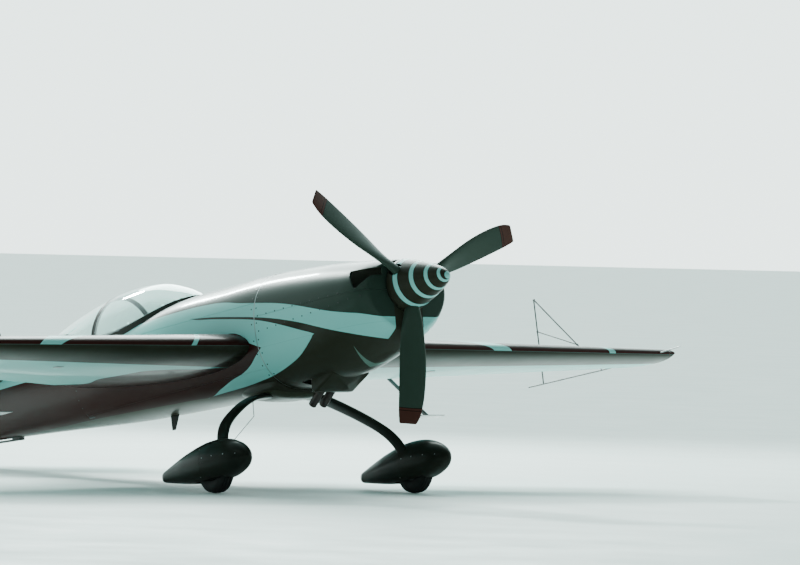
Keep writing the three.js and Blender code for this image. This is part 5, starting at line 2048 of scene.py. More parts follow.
@dataclass
class Tail:
    """Stabilizers, elevator, fin, rudder and the tail gear."""

    shop: Workshop
    hull: Hull
    hinge: float = ELEVATOR_HINGE
    height: float = 70
    half_span: float = 1600
    hinges: tuple[float, ...] = (350, 1350)
    rudder_hinge: float = RUDDER_HINGE
    rudder_hinges: tuple[float, ...] = (320, 880)
    tip_round: float = 14

    def at(self, span: float) -> tuple[float, float, float, float]:
        """The tailplane at a span: leading edge, chord, elevator's nose and its reach.

        Args:
            span: Distance out from the middle.

        Returns:
            The four lengths, in that order.
        """
        part = span / self.half_span
        lead, trail = lerp(5340, 5560, part), lerp(6340, 6270, part)
        chord = trail - lead
        return lead, chord, half_thickness(0.10, (self.hinge - lead) / chord) * chord - 1, trail - self.hinge

    def build(self) -> None:
        """Builds the tail."""
        for side in Side:
            self.stabilizer(side)
        self.elevator()
        self.fin()
        self.rudder()
        self.gear()

    def stabilizer(self, side: Side) -> None:
        """Cuts one stabilizer to the tail cone and the elevator.

        Args:
            side: Which side.
        """
        rings = []
        for span in spread(20, self.half_span - self.tip_round, 150):
            lead, chord, _, _ = self.at(span)
            rings.append(span_ring(foil(chord, 0.10), lead, span, self.height))
        for a in spread(0, math.pi / 2, math.pi / 10)[1:]:
            span = self.half_span - self.tip_round * (1 - math.sin(a))
            lead, chord, _, _ = self.at(span)
            thin = max(math.cos(a), 0.12)
            rings.append(span_ring([(x, z * thin) for x, z in foil(chord, 0.10)], lead, span, self.height))
        form = on_side(loft("stabilizer_form", rings), side)
        room = []
        for span in (10, self.half_span + 50):
            _, _, nose, reach = self.at(span)
            room.append(span_ring(cove(nose, reach), self.hinge, span, self.height))
        surface = copy_of(form, f"stabilizer_{side.word}_skin")
        work(surface, "DIFFERENCE", self.hull.form(0.5), keep=True)
        work(surface, "DIFFERENCE", on_side(loft("room", room), side))
        take_gloss(surface, form)
        bpy.data.objects.remove(form)
        self.shop.hand_over(
            surface, Body.AIRFRAME, (TAIL_ENAMEL, TAIL_ENAMEL), "paint_maroon", [f"stabilizer_{side.word}"],
            None,
        )
        lugs = joined(f"stabilizer_{side.word}_hinge_lugs", [
            hinge_fixed((-self.hinge, side.value * span, self.height), self.at(span)[2], True, 5.6)
            for span in self.hinges
        ])
        self.shop.hand_over(lugs, Body.AIRFRAME, (ALLOY,), "bare_metal")

    def elevator(self) -> None:
        """Builds both halves of the elevator on their tube."""
        halves, pins = [], []
        for side in Side:
            rings = []
            for span in spread(130, self.half_span - 1, 160):
                _, _, nose, reach = self.at(span)
                rings.append(span_ring(flap(nose, reach), self.hinge, span, self.height))
            surface = on_side(loft("half", rings), side)
            notch = on_side(loft("notch", [
                [(-self.hinge, 0, z), (-self.hinge, 130, z), (-6390, 193.3, z), (-6390, 0, z)]
                for z in (-30, 170)
            ]), side)
            work(surface, "DIFFERENCE", notch)
            for span in self.hinges:
                place = (-self.hinge, side.value * span, self.height)
                pins.append(hinge_moving(surface, place, self.at(span)[2], True))
            halves.append(surface)
        tube = bar("tube", (-self.hinge, -140, self.height), (-self.hinge, 140, self.height), 16, 32)
        self.shop.hand_over(joined("elevator_pins", pins), Body.ELEVATOR, (STEEL,), "bare_metal")
        surface = joined("elevator_skin", halves)
        self.shop.hand_over(surface, Body.ELEVATOR, (TAIL_ENAMEL,), "paint_maroon", ["elevator"], 50)
        tube.name = "elevator_tube"
        self.shop.hand_over(tube, Body.ELEVATOR, (STEEL,), "bare_metal")

    def fin(self) -> None:
        """Cuts the fin to the tail cone and the rudder."""
        rings = []
        for height in spread(60, 1020 - self.tip_round, 90):
            lead, chord, _, _ = fin_at(height)
            rings.append([(-(lead + aft), side, height) for aft, side in foil(chord, 0.085)])
        for a in spread(0, math.pi / 2, math.pi / 10)[1:]:
            height = 1020 - self.tip_round * (1 - math.sin(a))
            lead, chord, _, _ = fin_at(height)
            thin = max(math.cos(a), 0.12)
            rings.append([(-(lead + aft), side * thin, height) for aft, side in foil(chord, 0.085)])
        form = loft("fin_form", rings)
        fin = copy_of(form, "fin_skin")
        work(fin, "DIFFERENCE", self.hull.form(0.5), keep=True)
        work(fin, "DIFFERENCE", rudder_form("room", cove, -410, 1070))
        take_gloss(fin, form)
        bpy.data.objects.remove(form)
        self.shop.hand_over(fin, Body.AIRFRAME, (FIN_ENAMEL, FIN_ENAMEL), "paint_maroon", ["fin"], None)
        lugs = joined("fin_hinge_lugs", [
            hinge_fixed((-self.rudder_hinge, 0, height), fin_at(height)[2], False, 5.6)
            for height in self.rudder_hinges
        ])
        self.shop.hand_over(lugs, Body.AIRFRAME, (ALLOY,), "bare_metal")

    def rudder(self) -> None:
        """Builds the rudder, with its foot cut to rise aft."""
        surface = rudder_form("rudder_skin", flap, -350, 1019)
        foot = plate("foot", [(6175, -530), (6175, -330), (6790, -200), (6790, -530)], -100, 100)
        work(surface, "DIFFERENCE", foot)
        pins = [
            hinge_moving(surface, (-self.rudder_hinge, 0, height), fin_at(height)[2], False)
            for height in self.rudder_hinges
        ]
        self.shop.hand_over(joined("rudder_pins", pins), Body.RUDDER, (STEEL,), "bare_metal")
        self.shop.hand_over(surface, Body.RUDDER, (FIN_ENAMEL,), "paint_pale", ["rudder"], 50)

    def gear(self) -> None:
        """Builds the leaf spring with its clamp, the fork and the tail wheel."""
        spring = self.leaf()
        self.shop.hand_over(spring, Body.AIRFRAME, (POWDER_COAT,), "black_plastic", ["tail_spring"])
        pivot, aft = -5835.0, -5900.0
        crown = loft("fork", [
            [(pivot + 22 - 90 * x, 32 * y, z) for x, y in (
                (0, .55), (.12, .95), (.3, 1), (1, 1), (1, -1), (.3, -1), (.12, -.95), (0, -.55))]
            for z in (136, 146)
        ])
        soften(crown, 2)
        parts = [crown]
        for sign in (1, -1):
            cheek = loft("cheek", [
                [(aft + x, sign * y, z)
                 for x, z in ((16, 138), (16, 62), (9, 52), (-1, 51.5), (-3, 60), (-3, 138))]
                for y in (26, 32)
            ])
            soften(cheek, 1.5)
            parts.append(cheek)
        parts.append(bar("axle", (aft, -35, 65), (aft, 35, 65), 6, 24))
        parts.append(bar("pin", (pivot, 0, 141), (pivot, 0, 171), 6, 24))
        self.shop.hand_over(
            joined("tail_fork_body", parts), Body.TAIL_SWIVEL, (POWDER_COAT,), "black_plastic", ["tail_fork"],
            axes=GROUND_TO_ROW,
        )
        tyre = turned("tail_wheel_tyre", [
            (34, -12), (40, -17), (54, -19), (61, -15), (64.6, -6), (64.6, 6), (61, 15), (54, 19), (40, 17),
            (34, 12),
        ], 64, (aft, 0, 65), "y")
        self.shop.hand_over(tyre, Body.TAIL_WHEEL, (RUBBER,), "tyre", ["tail_wheel"], 50, GROUND_TO_ROW)
        hub = turned("tail_wheel_hub", [
            (7, -17), (15, -17), (18, -6), (30, -5), (34.5, -12), (34.5, 12), (30, 5), (18, 6), (15, 17),
            (7, 17),
        ], 48, (aft, 0, 65), "y")
        self.shop.hand_over(hub, Body.TAIL_WHEEL, (ALLOY,), "engine_alloy", (), 40, GROUND_TO_ROW)

    def leaf(self) -> Piece:
        """The tail spring with its clamp, cut clear of the tail cone.

        Returns:
            The spring, in one piece with its clamp.
        """
        strip = plate(
            "tail_spring_leaf",
            [from_ground(*at) for at in ((5285, 238), (5862, 164), (5862, 152), (5285, 226))], -26, 26, 2,
        )
        clamp = plate(
            "clamp",
            [from_ground(*at) for at in ((5286, 238), (5286, 263), (5380, 263), (5380, 223), (5286, 235))],
            -25, 25,
        )
        work(strip, "UNION", clamp)
        work(strip, "DIFFERENCE", self.hull.form(0.5), keep=True)
        top, low = from_ground(5835, 194), from_ground(5835, 134)
        hole = bar("hole", (-top[0], 0, top[1]), (-low[0], 0, low[1]), 7, 24)
        return work(strip, "DIFFERENCE", hole)


# Propeller


@dataclass
class Propeller:
    """Spinner, hub, backplate and three blades."""

    shop: Workshop
    profile: Table = (
        (0, 0), (12, 20), (30, 36), (65, 58), (125, 85), (190, 109), (270, 135), (350, 158), (430, 179),
        (478, 190),
    )
    station: float = 430
    reach: float = 1000
    first: float = 53.68
    blades: int = 3
    pitched_from: float = 230
    pitch: float = 22
    wall: float = 3
    rows: Table = (
        (120, 84, 70, 0), (200, 120, 58, 0), (280, 148, 48, 2), (400, 170, 36, 4), (600, 190, 26, 8),
        (800, 186, 18, 2), (930, 164, 13, -10), (1000, 128, 10, -24),
    )
    tip_round: float = 12

    def build(self) -> None:
        """Builds all that turns with the shaft."""
        self.spinner()
        plate_ring = turned("spinner_backplate_disc", [
            (20, -478.6), (181, -478.6), (186, -480), (188, -483), (188, -488), (20, -488),
        ], 96, (0, 0, 0), "x")
        self.shop.hand_over(plate_ring, Body.PROPELLER, (DARK_ENAMEL,), "engine_alloy", ["spinner_backplate"])
        form = self.blade()
        for k in range(self.blades):
            turn = Matrix.Rotation(math.radians(self.first - 120 * k), 4, "X")
            blade = copy_of(form, f"propeller_blade_{k + 1}_body")
            blade.data.transform(turn)
            self.shop.hand_over(
                blade, Body.PROPELLER, (BLADE_ENAMEL,), "blade_paint", [f"propeller_blade_{k + 1}"], 50,
            )
            collar = turned(f"blade_collar_{k + 1}", [
                (30, 96), (44, 96), (44, 132), (47, 136), (47, 150), (43, 154), (30, 154),
            ], 48, (-self.station, 0, 0), "z")
            collar.data.transform(turn)
            self.shop.hand_over(collar, Body.PROPELLER, (ALLOY,), "engine_alloy")
        bpy.data.objects.remove(form)
        hub = turned("propeller_hub", [
            (18, -386), (70, -386), (92, -396), (98, -410), (98, -462), (88, -478.4), (18, -478.4),
        ], 48, (0, 0, 0), "x")
        self.shop.hand_over(hub, Body.PROPELLER, (CAST_ALLOY,), "engine_alloy")

    def cone(self, name: str, shrink: float, rear: float) -> Piece:
        """The spinner's outer or inner shape.

        Args:
            name: The new object's name.
            shrink: How far inside the outer shape it is.
            rear: Station of its open end.

        Returns:
            The closed form.
        """
        rings = []
        rows = tuple((math.sqrt(station), radius) for station, radius in self.profile)
        for root in spread(0, rows[-1][0], 0.45)[1:]:
            radius = read_table(rows, root)[0] - shrink
            station = lerp(shrink + 0.7, rear, root ** 2 / self.profile[-1][0])
            if radius > 1.5:
                rings.append([(-station, radius * math.cos(a), radius * math.sin(a)) for a in full_turn(96)])
        return loft(name, rings)

    def spinner(self) -> None:
        """Turns the spinner as a shell and cuts room for the blades' roots."""
        rear = self.profile[-1][0]
        form = self.cone("spinner_form", 0, rear)
        shell = copy_of(form, "spinner_shell")
        work(shell, "DIFFERENCE", self.cone("inner", self.wall, rear + 6))
        for k in range(self.blades):
            hole = bar("hole", (-self.station, 0, 60), (-self.station, 0, 240), 51, 48)
            hole.data.transform(Matrix.Rotation(math.radians(self.first - 120 * k), 4, "X"))
            work(shell, "DIFFERENCE", hole)
        take_gloss(shell, form)
        bpy.data.objects.remove(form)
        self.shop.hand_over(
            shell, Body.PROPELLER, (SPINNER_ENAMEL, BARE_LAMINATE), "paint_dark", ["spinner"], None,
        )

    def blade(self) -> Piece:
        """Carves one blade standing up, its leading edge forward.

        Returns:
            The blade.
        """
        slope = math.tan(math.radians(self.pitch)) * 0.75 * self.reach
        rings = []
        tip = self.reach - self.tip_round
        levels = [(r, 1.0, 0.0) for r in spread(self.rows[0][0], tip, 22)]
        levels += [
            (tip + self.tip_round * math.sin(a), max(math.cos(a), 0.1), 9 * (1 - math.cos(a)))
            for a in spread(0, math.pi / 2, math.pi / 12)[1:]
        ]
        for radius, thin, narrow in levels:
            chord, thickness, shift = read_table(self.rows, radius)
            pitch = math.atan(slope / max(radius, self.pitched_from))
            ring = []
            for angle in full_turn(48):
                along = (chord / 2 - narrow) * math.cos(angle) + shift
                through = thickness * thin / 2 * math.sin(angle) * (1 + 0.35 * math.cos(angle))
                ring.append((
                    -self.station + along * math.sin(pitch) + through * math.cos(pitch),
                    -along * math.cos(pitch) + through * math.sin(pitch), radius,
                ))
            rings.append(ring)
        return loft("blade_form", rings)


# Main gear


@dataclass
class MainGear:
    """The composite bow, and a wheel with its fairing, brake and axle on each side."""

    shop: Workshop
    hull: Hull
    radius: float = 175
    width: float = 118
    span: float = 879
    corners: tuple[float, float] = (2.1, 2.8)
    aft: float = 1503
    leg: Table = (
        (0, 0, -566, 2020, 170, 40), (1, 240, -573, 2020, 170, 40), (2, 400, -625, 2000, 168, 38),
        (3, 620, -760, 1905, 152, 34), (4, 740, -880, 1815, 136, 30), (5, 790, -1010, 1750, 118, 28),
        (6, 795, -1165, 1733, 90, 28),
    )
    belly_rows: Table = (
        (1803, 190, -556), (1822, 224, -582), (1860, 236, -598), (1910, 240, -603), (2120, 235, -595),
        (2280, 203, -565), (2400, 150, -530),
    )
    fairing_rows: Table = (
        (1322, 14, -1070, -1100), (1350, 46, -1034, -1130), (1430, 88, -980, -1176),
        (1570, 114, -938, -1214), (1760, 122, -934, -1222), (2000, 104, -975, -1206),
        (2190, 76, -1026, -1178), (2330, 52, -1068, -1154),
    )

    @property
    def centre(self) -> tuple[float, float]:
        """Station and height of the wheels' axis."""
        return from_ground(self.aft, self.radius)

    def bow(self, grow: float) -> Piece:
        """The gear bow's form from wheel to wheel.

        Args:
            grow: How much thicker it is all round.

        Returns:
            The closed form.
        """
        half = []
        for place in spread(0, 6, 0.125):
            span, height, station, chord, thickness = read_table(self.leg, place)
            before, after = (read_table(self.leg, min(max(place + d, 0), 6)) for d in (-0.02, 0.02))
            along = Vector((after[0] - before[0], after[1] - before[1])).normalized()
            ring = []
            for a in full_turn(32):
                fore = (chord / 2 + grow) * signed_power(math.cos(a), 0.8)
                out = (thickness / 2 + grow) * signed_power(math.sin(a), 0.8)
                ring.append((-station + fore, span - out * along.y, height + out * along.x))
            half.append(ring)
        half[-1] = [(x, y, z - grow) for x, y, z in half[-1]]
        other = [[(x, -y, z) for x, y, z in ring] for ring in reversed(half[1:])]
        return loft("bow", other + half)

    def build(self) -> None:
        """Builds the bow and both wheels."""
        bow = self.bow(0)
        bow.name = "gear_spring_bow"
        work(bow, "DIFFERENCE", self.hull.form(0.5), keep=True)
        self.shop.hand_over(bow, Body.AIRFRAME, (DARK_ENAMEL,), "carbon", ["gear_spring"], 50)
        self.belly_fairing()
        for side in Side:
            self.fairing(side)
            self.wheel(side)

    def belly_fairing(self) -> None:
        """Fairs the middle of the bow into the belly."""
        rings = []
        for station in spread(self.belly_rows[0][0], self.belly_rows[-1][0], 16):
            half, bottom = read_table(self.belly_rows, station)
            rings.append(section(station, half, -450, bottom, -470, (2, 3.0), 96))
        fairing = loft("belly_fairing", rings)
        work(fairing, "DIFFERENCE", self.hull.form(0.3), keep=True)
        work(fairing, "DIFFERENCE", self.bow(0.3))
        self.shop.hand_over(fairing, Body.AIRFRAME, (HULL_ENAMEL,), "paint_pale", (), 50)

    def fairing_at(self, station: float) -> tuple[float, float, float, float]:
        """One section of the fairing: half width, top, bottom and height of its widest place.

        Args:
            station: Where it is.

        Returns:
            The four lengths, in that order.
        """
        half, top, bottom = read_table(self.fairing_rows, station)
        return half, top, bottom, lerp(top, bottom, 0.55)

    def fairing(self, side: Side) -> None:
        """Lofts one fairing, opens it for the wheel and the leg, and rules its joint.

        Args:
            side: Which side.
        """
        def form(grow: float) -> Piece:
            """The fairing's outer form.

            Args:
                grow: How much larger it is all round.

            Returns:
                The closed form.
            """
            rings = []
            for station in spread(self.fairing_rows[0][0], self.fairing_rows[-1][0], 21):
                half, top, bottom, waist = self.fairing_at(station)
                ring = section(station, half + grow, top + grow, bottom - grow, waist, self.corners, 72)
                rings.append([(x, y + self.span, z) for x, y, z in ring])
            return on_side(loft("fairing", rings), side)

        whole = form(0)
        fairing = copy_of(whole, f"wheel_fairing_{side.word}_shell")
        station, height = self.centre
        y = side.value * self.span
        well = bar("well", (-station, y - 70, height), (-station, y + 70, height), 186, 96)
        joint = work(block(1768, 1770, y - 300, y + 300, -1400, -800), "DIFFERENCE", form(-2))
        line = work(block(1300, 1768, y - 300, y + 300, -1091, -1089.4), "DIFFERENCE", form(-2))
        work(fairing, "DIFFERENCE", well, self.bow(0.5), joint, line)
        take_gloss(fairing, whole)
        bpy.data.objects.remove(whole)
        self.shop.hand_over(
            fairing, Body.AIRFRAME, (DARK_ENAMEL, POWDER_COAT), "paint_dark",
            [f"wheel_fairing_{side.word}"], None,
        )
        spots = []
        for at in (1395, 1500, 1620, 1735):
            for angle in (12, 168):
                x, across, z = section_point(at, *self.fairing_at(at), self.corners, math.radians(angle))
                out = Vector((0, side.value * math.copysign(1, across), 0.25)).normalized()
                spots.append(((x, side.value * (across + self.span), z), out))
        half, top, bottom, waist = self.fairing_at(1790)
        for angle in (40, 75, 105, 140, 220, 320):
            x, across, z = section_point(1790, half, top, bottom, waist, self.corners, math.radians(angle))
            out = Vector((0, side.value * across / half ** 2, (z - waist) / (top - waist) ** 2)).normalized()
            spots.append(((x, side.value * (across + self.span), z), out))
        self.shop.hand_over(
            studs(f"fairing_screws_{side.word}", spots, 5, 1.2), Body.AIRFRAME, (STEEL,), "bare_metal",
        )

    def wheel(self, side: Side) -> None:
        """Turns one tyre, its rim with lightening holes, its brake disc and its axle.

        Args:
            side: Which side.
        """
        body = Body.WHEEL_LEFT if side is Side.LEFT else Body.WHEEL_RIGHT
        station, height = self.centre
        at = (-station, side.value * self.span, height)
        half = self.width / 2
        profile = [
            (82.4, -0.72 * half), (92, -0.86 * half), (112, -0.97 * half), (128, -half),
            (144, -0.97 * half), (158, -0.82 * half)
        ]
        tread = []
        for groove in (-34, -12, 12, 34):
            crown = self.radius - (groove / half) ** 2 * 15
            tread += [
                (crown, groove - 4.5), (crown - 6, groove - 3), (crown - 6, groove + 3), (crown, groove + 4.5)
            ]
        profile += [(167, -0.68 * half), *tread, (167, 0.68 * half)]
        profile += [(r, -d) for r, d in reversed(profile[:6])]
        profile.insert(14, (self.radius, 0.0))
        tyre = turned(f"tyre_{side.word}_rubber", profile, 84, at, "y")
        self.shop.hand_over(tyre, body, (RUBBER,), "tyre", [f"tyre_{side.word}"], 50)
        rim = turned(f"wheel_rim_{side.word}_cast", [
            (17, -49), (36, -49), (39, -40), (42, -9), (66, -7), (71, -14), (73, -38), (77, -43), (82, -43),
            (82, 43), (77, 43), (73, 38), (71, 14), (66, 7), (42, 9), (39, 40), (36, 49), (17, 49),
        ], 72, at, "y")
        for a in full_turn(6):
            x, z = at[0] + 54 * math.cos(a), at[2] + 54 * math.sin(a)
            work(rim, "DIFFERENCE", bar("hole", (x, at[1] - 30, z), (x, at[1] + 30, z), 9, 24))
        soften(rim, 0.8, 1)
        self.shop.hand_over(rim, body, (CAST_ALLOY,), "engine_alloy", [f"wheel_rim_{side.word}"])
        inner = -side.value
        disc = turned(f"brake_disc_{side.word}", [
            (38, inner * 50), (78, inner * 50), (78, inner * 56), (38, inner * 56),
        ], 72, at, "y")
        self.shop.hand_over(disc, body, (STEEL,), "engine_alloy")
        start = side.value * (795 + 14.3)
        end = side.value * (self.span + self.width * 0.42 + 14)
        shaft = bar("axle", (at[0], start, height), (at[0], end, height), 16, 40)
        nut = bar("nut", (at[0], end - side.value * 10, height), (at[0], end, height), 27, 6)
        soften(nut, 1.5)
        flange = bar("flange", (at[0], start, height), (at[0], start + side.value * 6, height), 36, 40)
        axle = joined(f"axle_{side.word}_assembly", [shaft, nut, flange])
        work(axle, "DIFFERENCE", self.bow(0.3))
        self.shop.hand_over(axle, Body.AIRFRAME, (STEEL,), "bare_metal", [f"axle_{side.word}"])


# Canopy and cockpit


@dataclass
class Bubble:
    """The canopy's shape."""

    rows: Table = (
        (2900, 60, 270), (3010, 170, 339), (3180, 245, 410), (3420, 300, 472), (3770, 312, 482),
        (4140, 280, 441), (4520, 215, 373), (4790, 140, 310), (4900, 70, 270),
    )
    bottom: float = -150
    waist: float = 60
    sides: int = 88
    step: float = 32

    def form(self, name: str, grow: float) -> Piece:
        """The whole bubble, a little larger or smaller.

        Args:
            name: The new object's name.
            grow: How much larger it is all round.

        Returns:
            The closed form.
        """
        rings = []
        for station in spread(self.rows[0][0], self.rows[-1][0], self.step):
            half, top = read_table(self.rows, station)
            rings.append(section(
                station, half + grow, top + grow, self.bottom - grow, self.waist, (2, 8), self.sides,
            ))
        return loft(name, rings)


@dataclass
class Canopy:
    """The frame and glass that swing open, and the fixed rear window."""

    shop: Workshop
    hull: Hull
    bubble: Bubble
    rear: float = 4000
    hoop: float = 28
    rail: float = 26
    glass: float = 4
    axis: tuple[float, float] = (-313, 68)
    hinge_stations: tuple[float, ...] = (3200, 3500, 3800)

    def build(self) -> None:
        """Cuts the frame and both glasses, and adds the window's band and the hinges."""
        walls = work(self.bubble.form("canopy_walls", 0), "DIFFERENCE", self.bubble.form("inner", -20))
        work(walls, "DIFFERENCE", self.hull.form(0.5), keep=True)
        low = work(copy_of(walls, "rail"), "INTERSECT", self.hull.form(self.rail), keep=True)
        work(low, "INTERSECT", block(0, self.rear, -FAR, FAR, -FAR, FAR))
        arch = work(walls, "INTERSECT", block(self.rear - self.hoop, self.rear, -FAR, FAR, -FAR, FAR))
        rail = work(low, "UNION", arch)
        rail.name = "canopy_frame_rail"
        outer = self.bubble.form("outer", 0)
        take_gloss(rail, outer)
        self.shop.hand_over(rail, Body.CANOPY, (DARK_ENAMEL, CARBON), "carbon", ["canopy_frame"], None)
        sheet = work(self.bubble.form("glass", -1), "DIFFERENCE", self.bubble.form("inner", -1 - self.glass))
        front = work(
            copy_of(sheet, "canopy_glass_blown"), "DIFFERENCE", self.hull.form(self.rail + 0.3), keep=True,
        )
        work(front, "INTERSECT", block(0, self.rear - self.hoop - 0.5, -FAR, FAR, -FAR, FAR))
        self.shop.hand_over(front, Body.CANOPY, (CANOPY_ACRYLIC,), "canopy_glass", ["canopy_glass"], 30)
        back = work(sheet, "DIFFERENCE", self.hull.form(0.5), keep=True)
        work(back, "INTERSECT", block(self.rear + 6, FAR, -FAR, FAR, -FAR, FAR))
        back.name = "rear_window_blown"
        self.shop.hand_over(back, Body.AIRFRAME, (CANOPY_ACRYLIC,), "canopy_glass", ["rear_window"], 30)
        bpy.data.objects.remove(outer)
        self.window_band()
        self.hinges()

    def window_band(self) -> None:
        """Lays the painted band along the rear window's foot and over its front edge."""
        band = work(self.bubble.form("rear_window_band", 0.4), "DIFFERENCE", self.bubble.form("inner", -7))
        work(band, "DIFFERENCE", self.hull.form(0.5), keep=True)
        foot = work(copy_of(band, "rear_window_foot"), "INTERSECT", self.hull.form(16), keep=True)
        work(foot, "INTERSECT", block(self.rear + 6, FAR, -FAR, FAR, -FAR, FAR))
        front = work(band, "INTERSECT", block(self.rear + 6, self.rear + 24, -FAR, FAR, -FAR, FAR))
        trim = work(foot, "UNION", front)
        trim.name = "rear_window_trim"
        self.shop.hand_over(trim, Body.AIRFRAME, (DARK_ENAMEL,), "paint_dark", (), 40)

    def hinges(self) -> None:
        """Puts hinge barrels on the canopy's own axis: one knuckle swings between two fixed ones."""
        across, height = self.axis

        def barrel(name: str, start: float, end: float, radius: float) -> Piece:
            """A round bar along the axis, from one station to another."""
            return bar(name, (-start, across, height), (-end, across, height), radius)

        fixed, swinging = [], []
        for station in self.hinge_stations:
            fixed += [
                barrel("knuckle", station - 44, station - 17, 7),
                barrel("knuckle", station + 17, station + 44, 7)
            ]
            fixed.append(barrel("pin", station - 48, station + 48, 3))
            swinging.append(barrel("knuckle", station - 16, station + 16, 7))
        self.shop.hand_over(joined("canopy_hinge_fixed", fixed), Body.AIRFRAME, (STEEL,), "bare_metal")
        self.shop.hand_over(joined("canopy_hinge_swinging", swinging), Body.CANOPY, (STEEL,), "bare_metal")


@dataclass
class Cockpit:
    """Floor, frame tubes, panel, seat with its harness, stick, throttle and pedals."""

    shop: Workshop
    panel_face: float = 2866

    def build(self) -> None:
        """Builds the cockpit."""
        for node, finish in (
            ("cockpit_floor", CARBON), ("wing_spar", CARBON), ("instrument_panel", CARBON),
            ("blade_antenna", DARK_ENAMEL), ("whip_antenna", STEEL),
        ):
            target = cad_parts[node]
            target.data.materials.clear()
            target.data.materials.append(self.shop.finish(finish))
        self.frame_tubes()
        self.dials()
        self.seat()
        self.controls()

    def frame_tubes(self) -> None:
        """Welds the side frames of steel tube."""
        tubes = []
        for sign in (1, -1):
            for z in (20, -405):
                reach = 352 if z > 0 else 250
                rear = 285 if z > 0 else 200
                path = [(-1812, sign * reach, z), (-2900, sign * (reach - 8), z), (-4230, sign * rear, z)]
                tubes.append(loft("tube", tube_rings(smooth_path(path, 16), [12] * 17, 16)))
            stations = (1830, 2420, 2760, 3300, 3800, 4200)
            for k, (a, b) in enumerate(zip(stations, stations[1:])):
                ends = [(a, -400), (b, 18)] if k % 2 == 0 else [(a, 18), (b, -400)]
                points = []
                for s, z in ends:
                    reach = lerp(
                        352, 285, max(0, (s - 2900) / 1330),
                    ) if z > 0 else lerp(250, 200, max(0, (s - 2900) / 1330))
                    points.append((-s, sign * (reach - 2), z))
                tubes.append(bar("tube", points[0], points[1], 9, 14))
        self.shop.hand_over(joined("frame_tubes", tubes), Body.AIRFRAME, (POWDER_COAT,), "black_plastic")

    def dials(self) -> None:
        """Sets plain round instruments in the panel, with their needles and ticks."""
        x = -self.panel_face
        rings, faces, marks, glasses = [], [], [], []
        spots = [(y, z, 40) for y in (-130, -43, 43, 130) for z in (175, 88)]
        spots += [(y, 0, 29) for y in (-100, -34, 34, 100)]
        for k, (y, z, r) in enumerate(spots):
            for pieces, name, profile in (
                (rings, "bezel", [(r - 5, 0.5), (r - 4, -7), (r - 1, -9), (r + 3, -7), (r + 4, 0.5)]),
                (faces, "face", [(0.6, 0.5), (r - 4, 0.5), (r - 4, -2), (0.6, -2)]),
                (glasses, "glass", [(0.4, -5), (r - 4.6, -5), (r - 4.6, -6.4), (0.4, -6.4)]),
            ):
                pieces.append(turned(name, profile, 40, (x, y, z), "x"))

            def spot(depth: float, out: float, a: float) -> Point:
                """A point over this dial, by its depth, radius and direction."""
                return x - depth, y + out * math.cos(a), z + out * math.sin(a)

            marks += [bar("tick", spot(2.6, r - 11, a), spot(2.6, r - 6, a), 0.7, 6) for a in full_turn(12)]
            turn = 0.9 + 0.8 * k
            marks.append(bar("needle", spot(3.4, -5, turn), spot(3.4, r - 10, turn), 1.2, 6, 0.5))
        self.shop.hand_over(joined("instrument_bezels", rings), Body.AIRFRAME, (PLASTIC,), "black_plastic")
        self.shop.hand_over(joined("instrument_faces", faces), Body.AIRFRAME, (DIAL_FACE,), "black_plastic")
        self.shop.hand_over(joined("instrument_marks", marks), Body.AIRFRAME, (DIAL_MARK,), "paint_pale")
        self.shop.hand_over(
            joined("instrument_glasses", glasses), Body.AIRFRAME, (DIAL_GLASS,), "canopy_glass",
        )

    def cushion(self, name: str, start: Point, end: Point, half: float, thick: float, channels: int) -> Piece:
        """A crowned cushion with sewn channels, flat only on its back.

        Args:
            name: The new object's name.
            start: Middle of its lower edge, in body axes.
            end: Middle of its upper edge.
            half: Half its width.
            thick: Its thickness at the crown.
            channels: Number of sewn channels.

        Returns:
            The cushion.
        """
        low, high = Vector(start), Vector(end)
        along = high - low
        out = Vector((0, 1, 0)).cross(along).normalized()
        piece = fresh(bpy.ops.mesh.primitive_cube_add, size=2)
        piece.name = name
        bpy.ops.object.mode_set(mode="EDIT")
        bpy.ops.mesh.select_all(action="SELECT")
        bpy.ops.mesh.subdivide(number_cuts=39)
        bpy.ops.object.mode_set(mode="OBJECT")
        for vertex in piece.data.vertices:
            u, v, w = vertex.co
            pull = 1 - 0.045 * u ** 4 * (1 - v * v)
            pull_v = 1 - 0.03 * (1 - u * u) * v ** 4
            crown = (1 - abs(u) ** 5) * (1 - abs(v) ** 5)
            place = (v + 1) / 2 * channels % 1
            seam = 1 - 0.30 * math.exp(-(min(place, 1 - place) / 0.12) ** 2)
            height = (0.18 + 0.82 * crown ** 0.55 * seam) if w > 0 else 0.0
            share = (w + 1) / 2
            vertex.co = (
                low + along * ((v * pull_v + 1) / 2) + Vector((0, 1, 0)) * (u * pull * half)
                + out * (thick * height * share)
            ) * MM
        face_outwards(piece)
        return piece

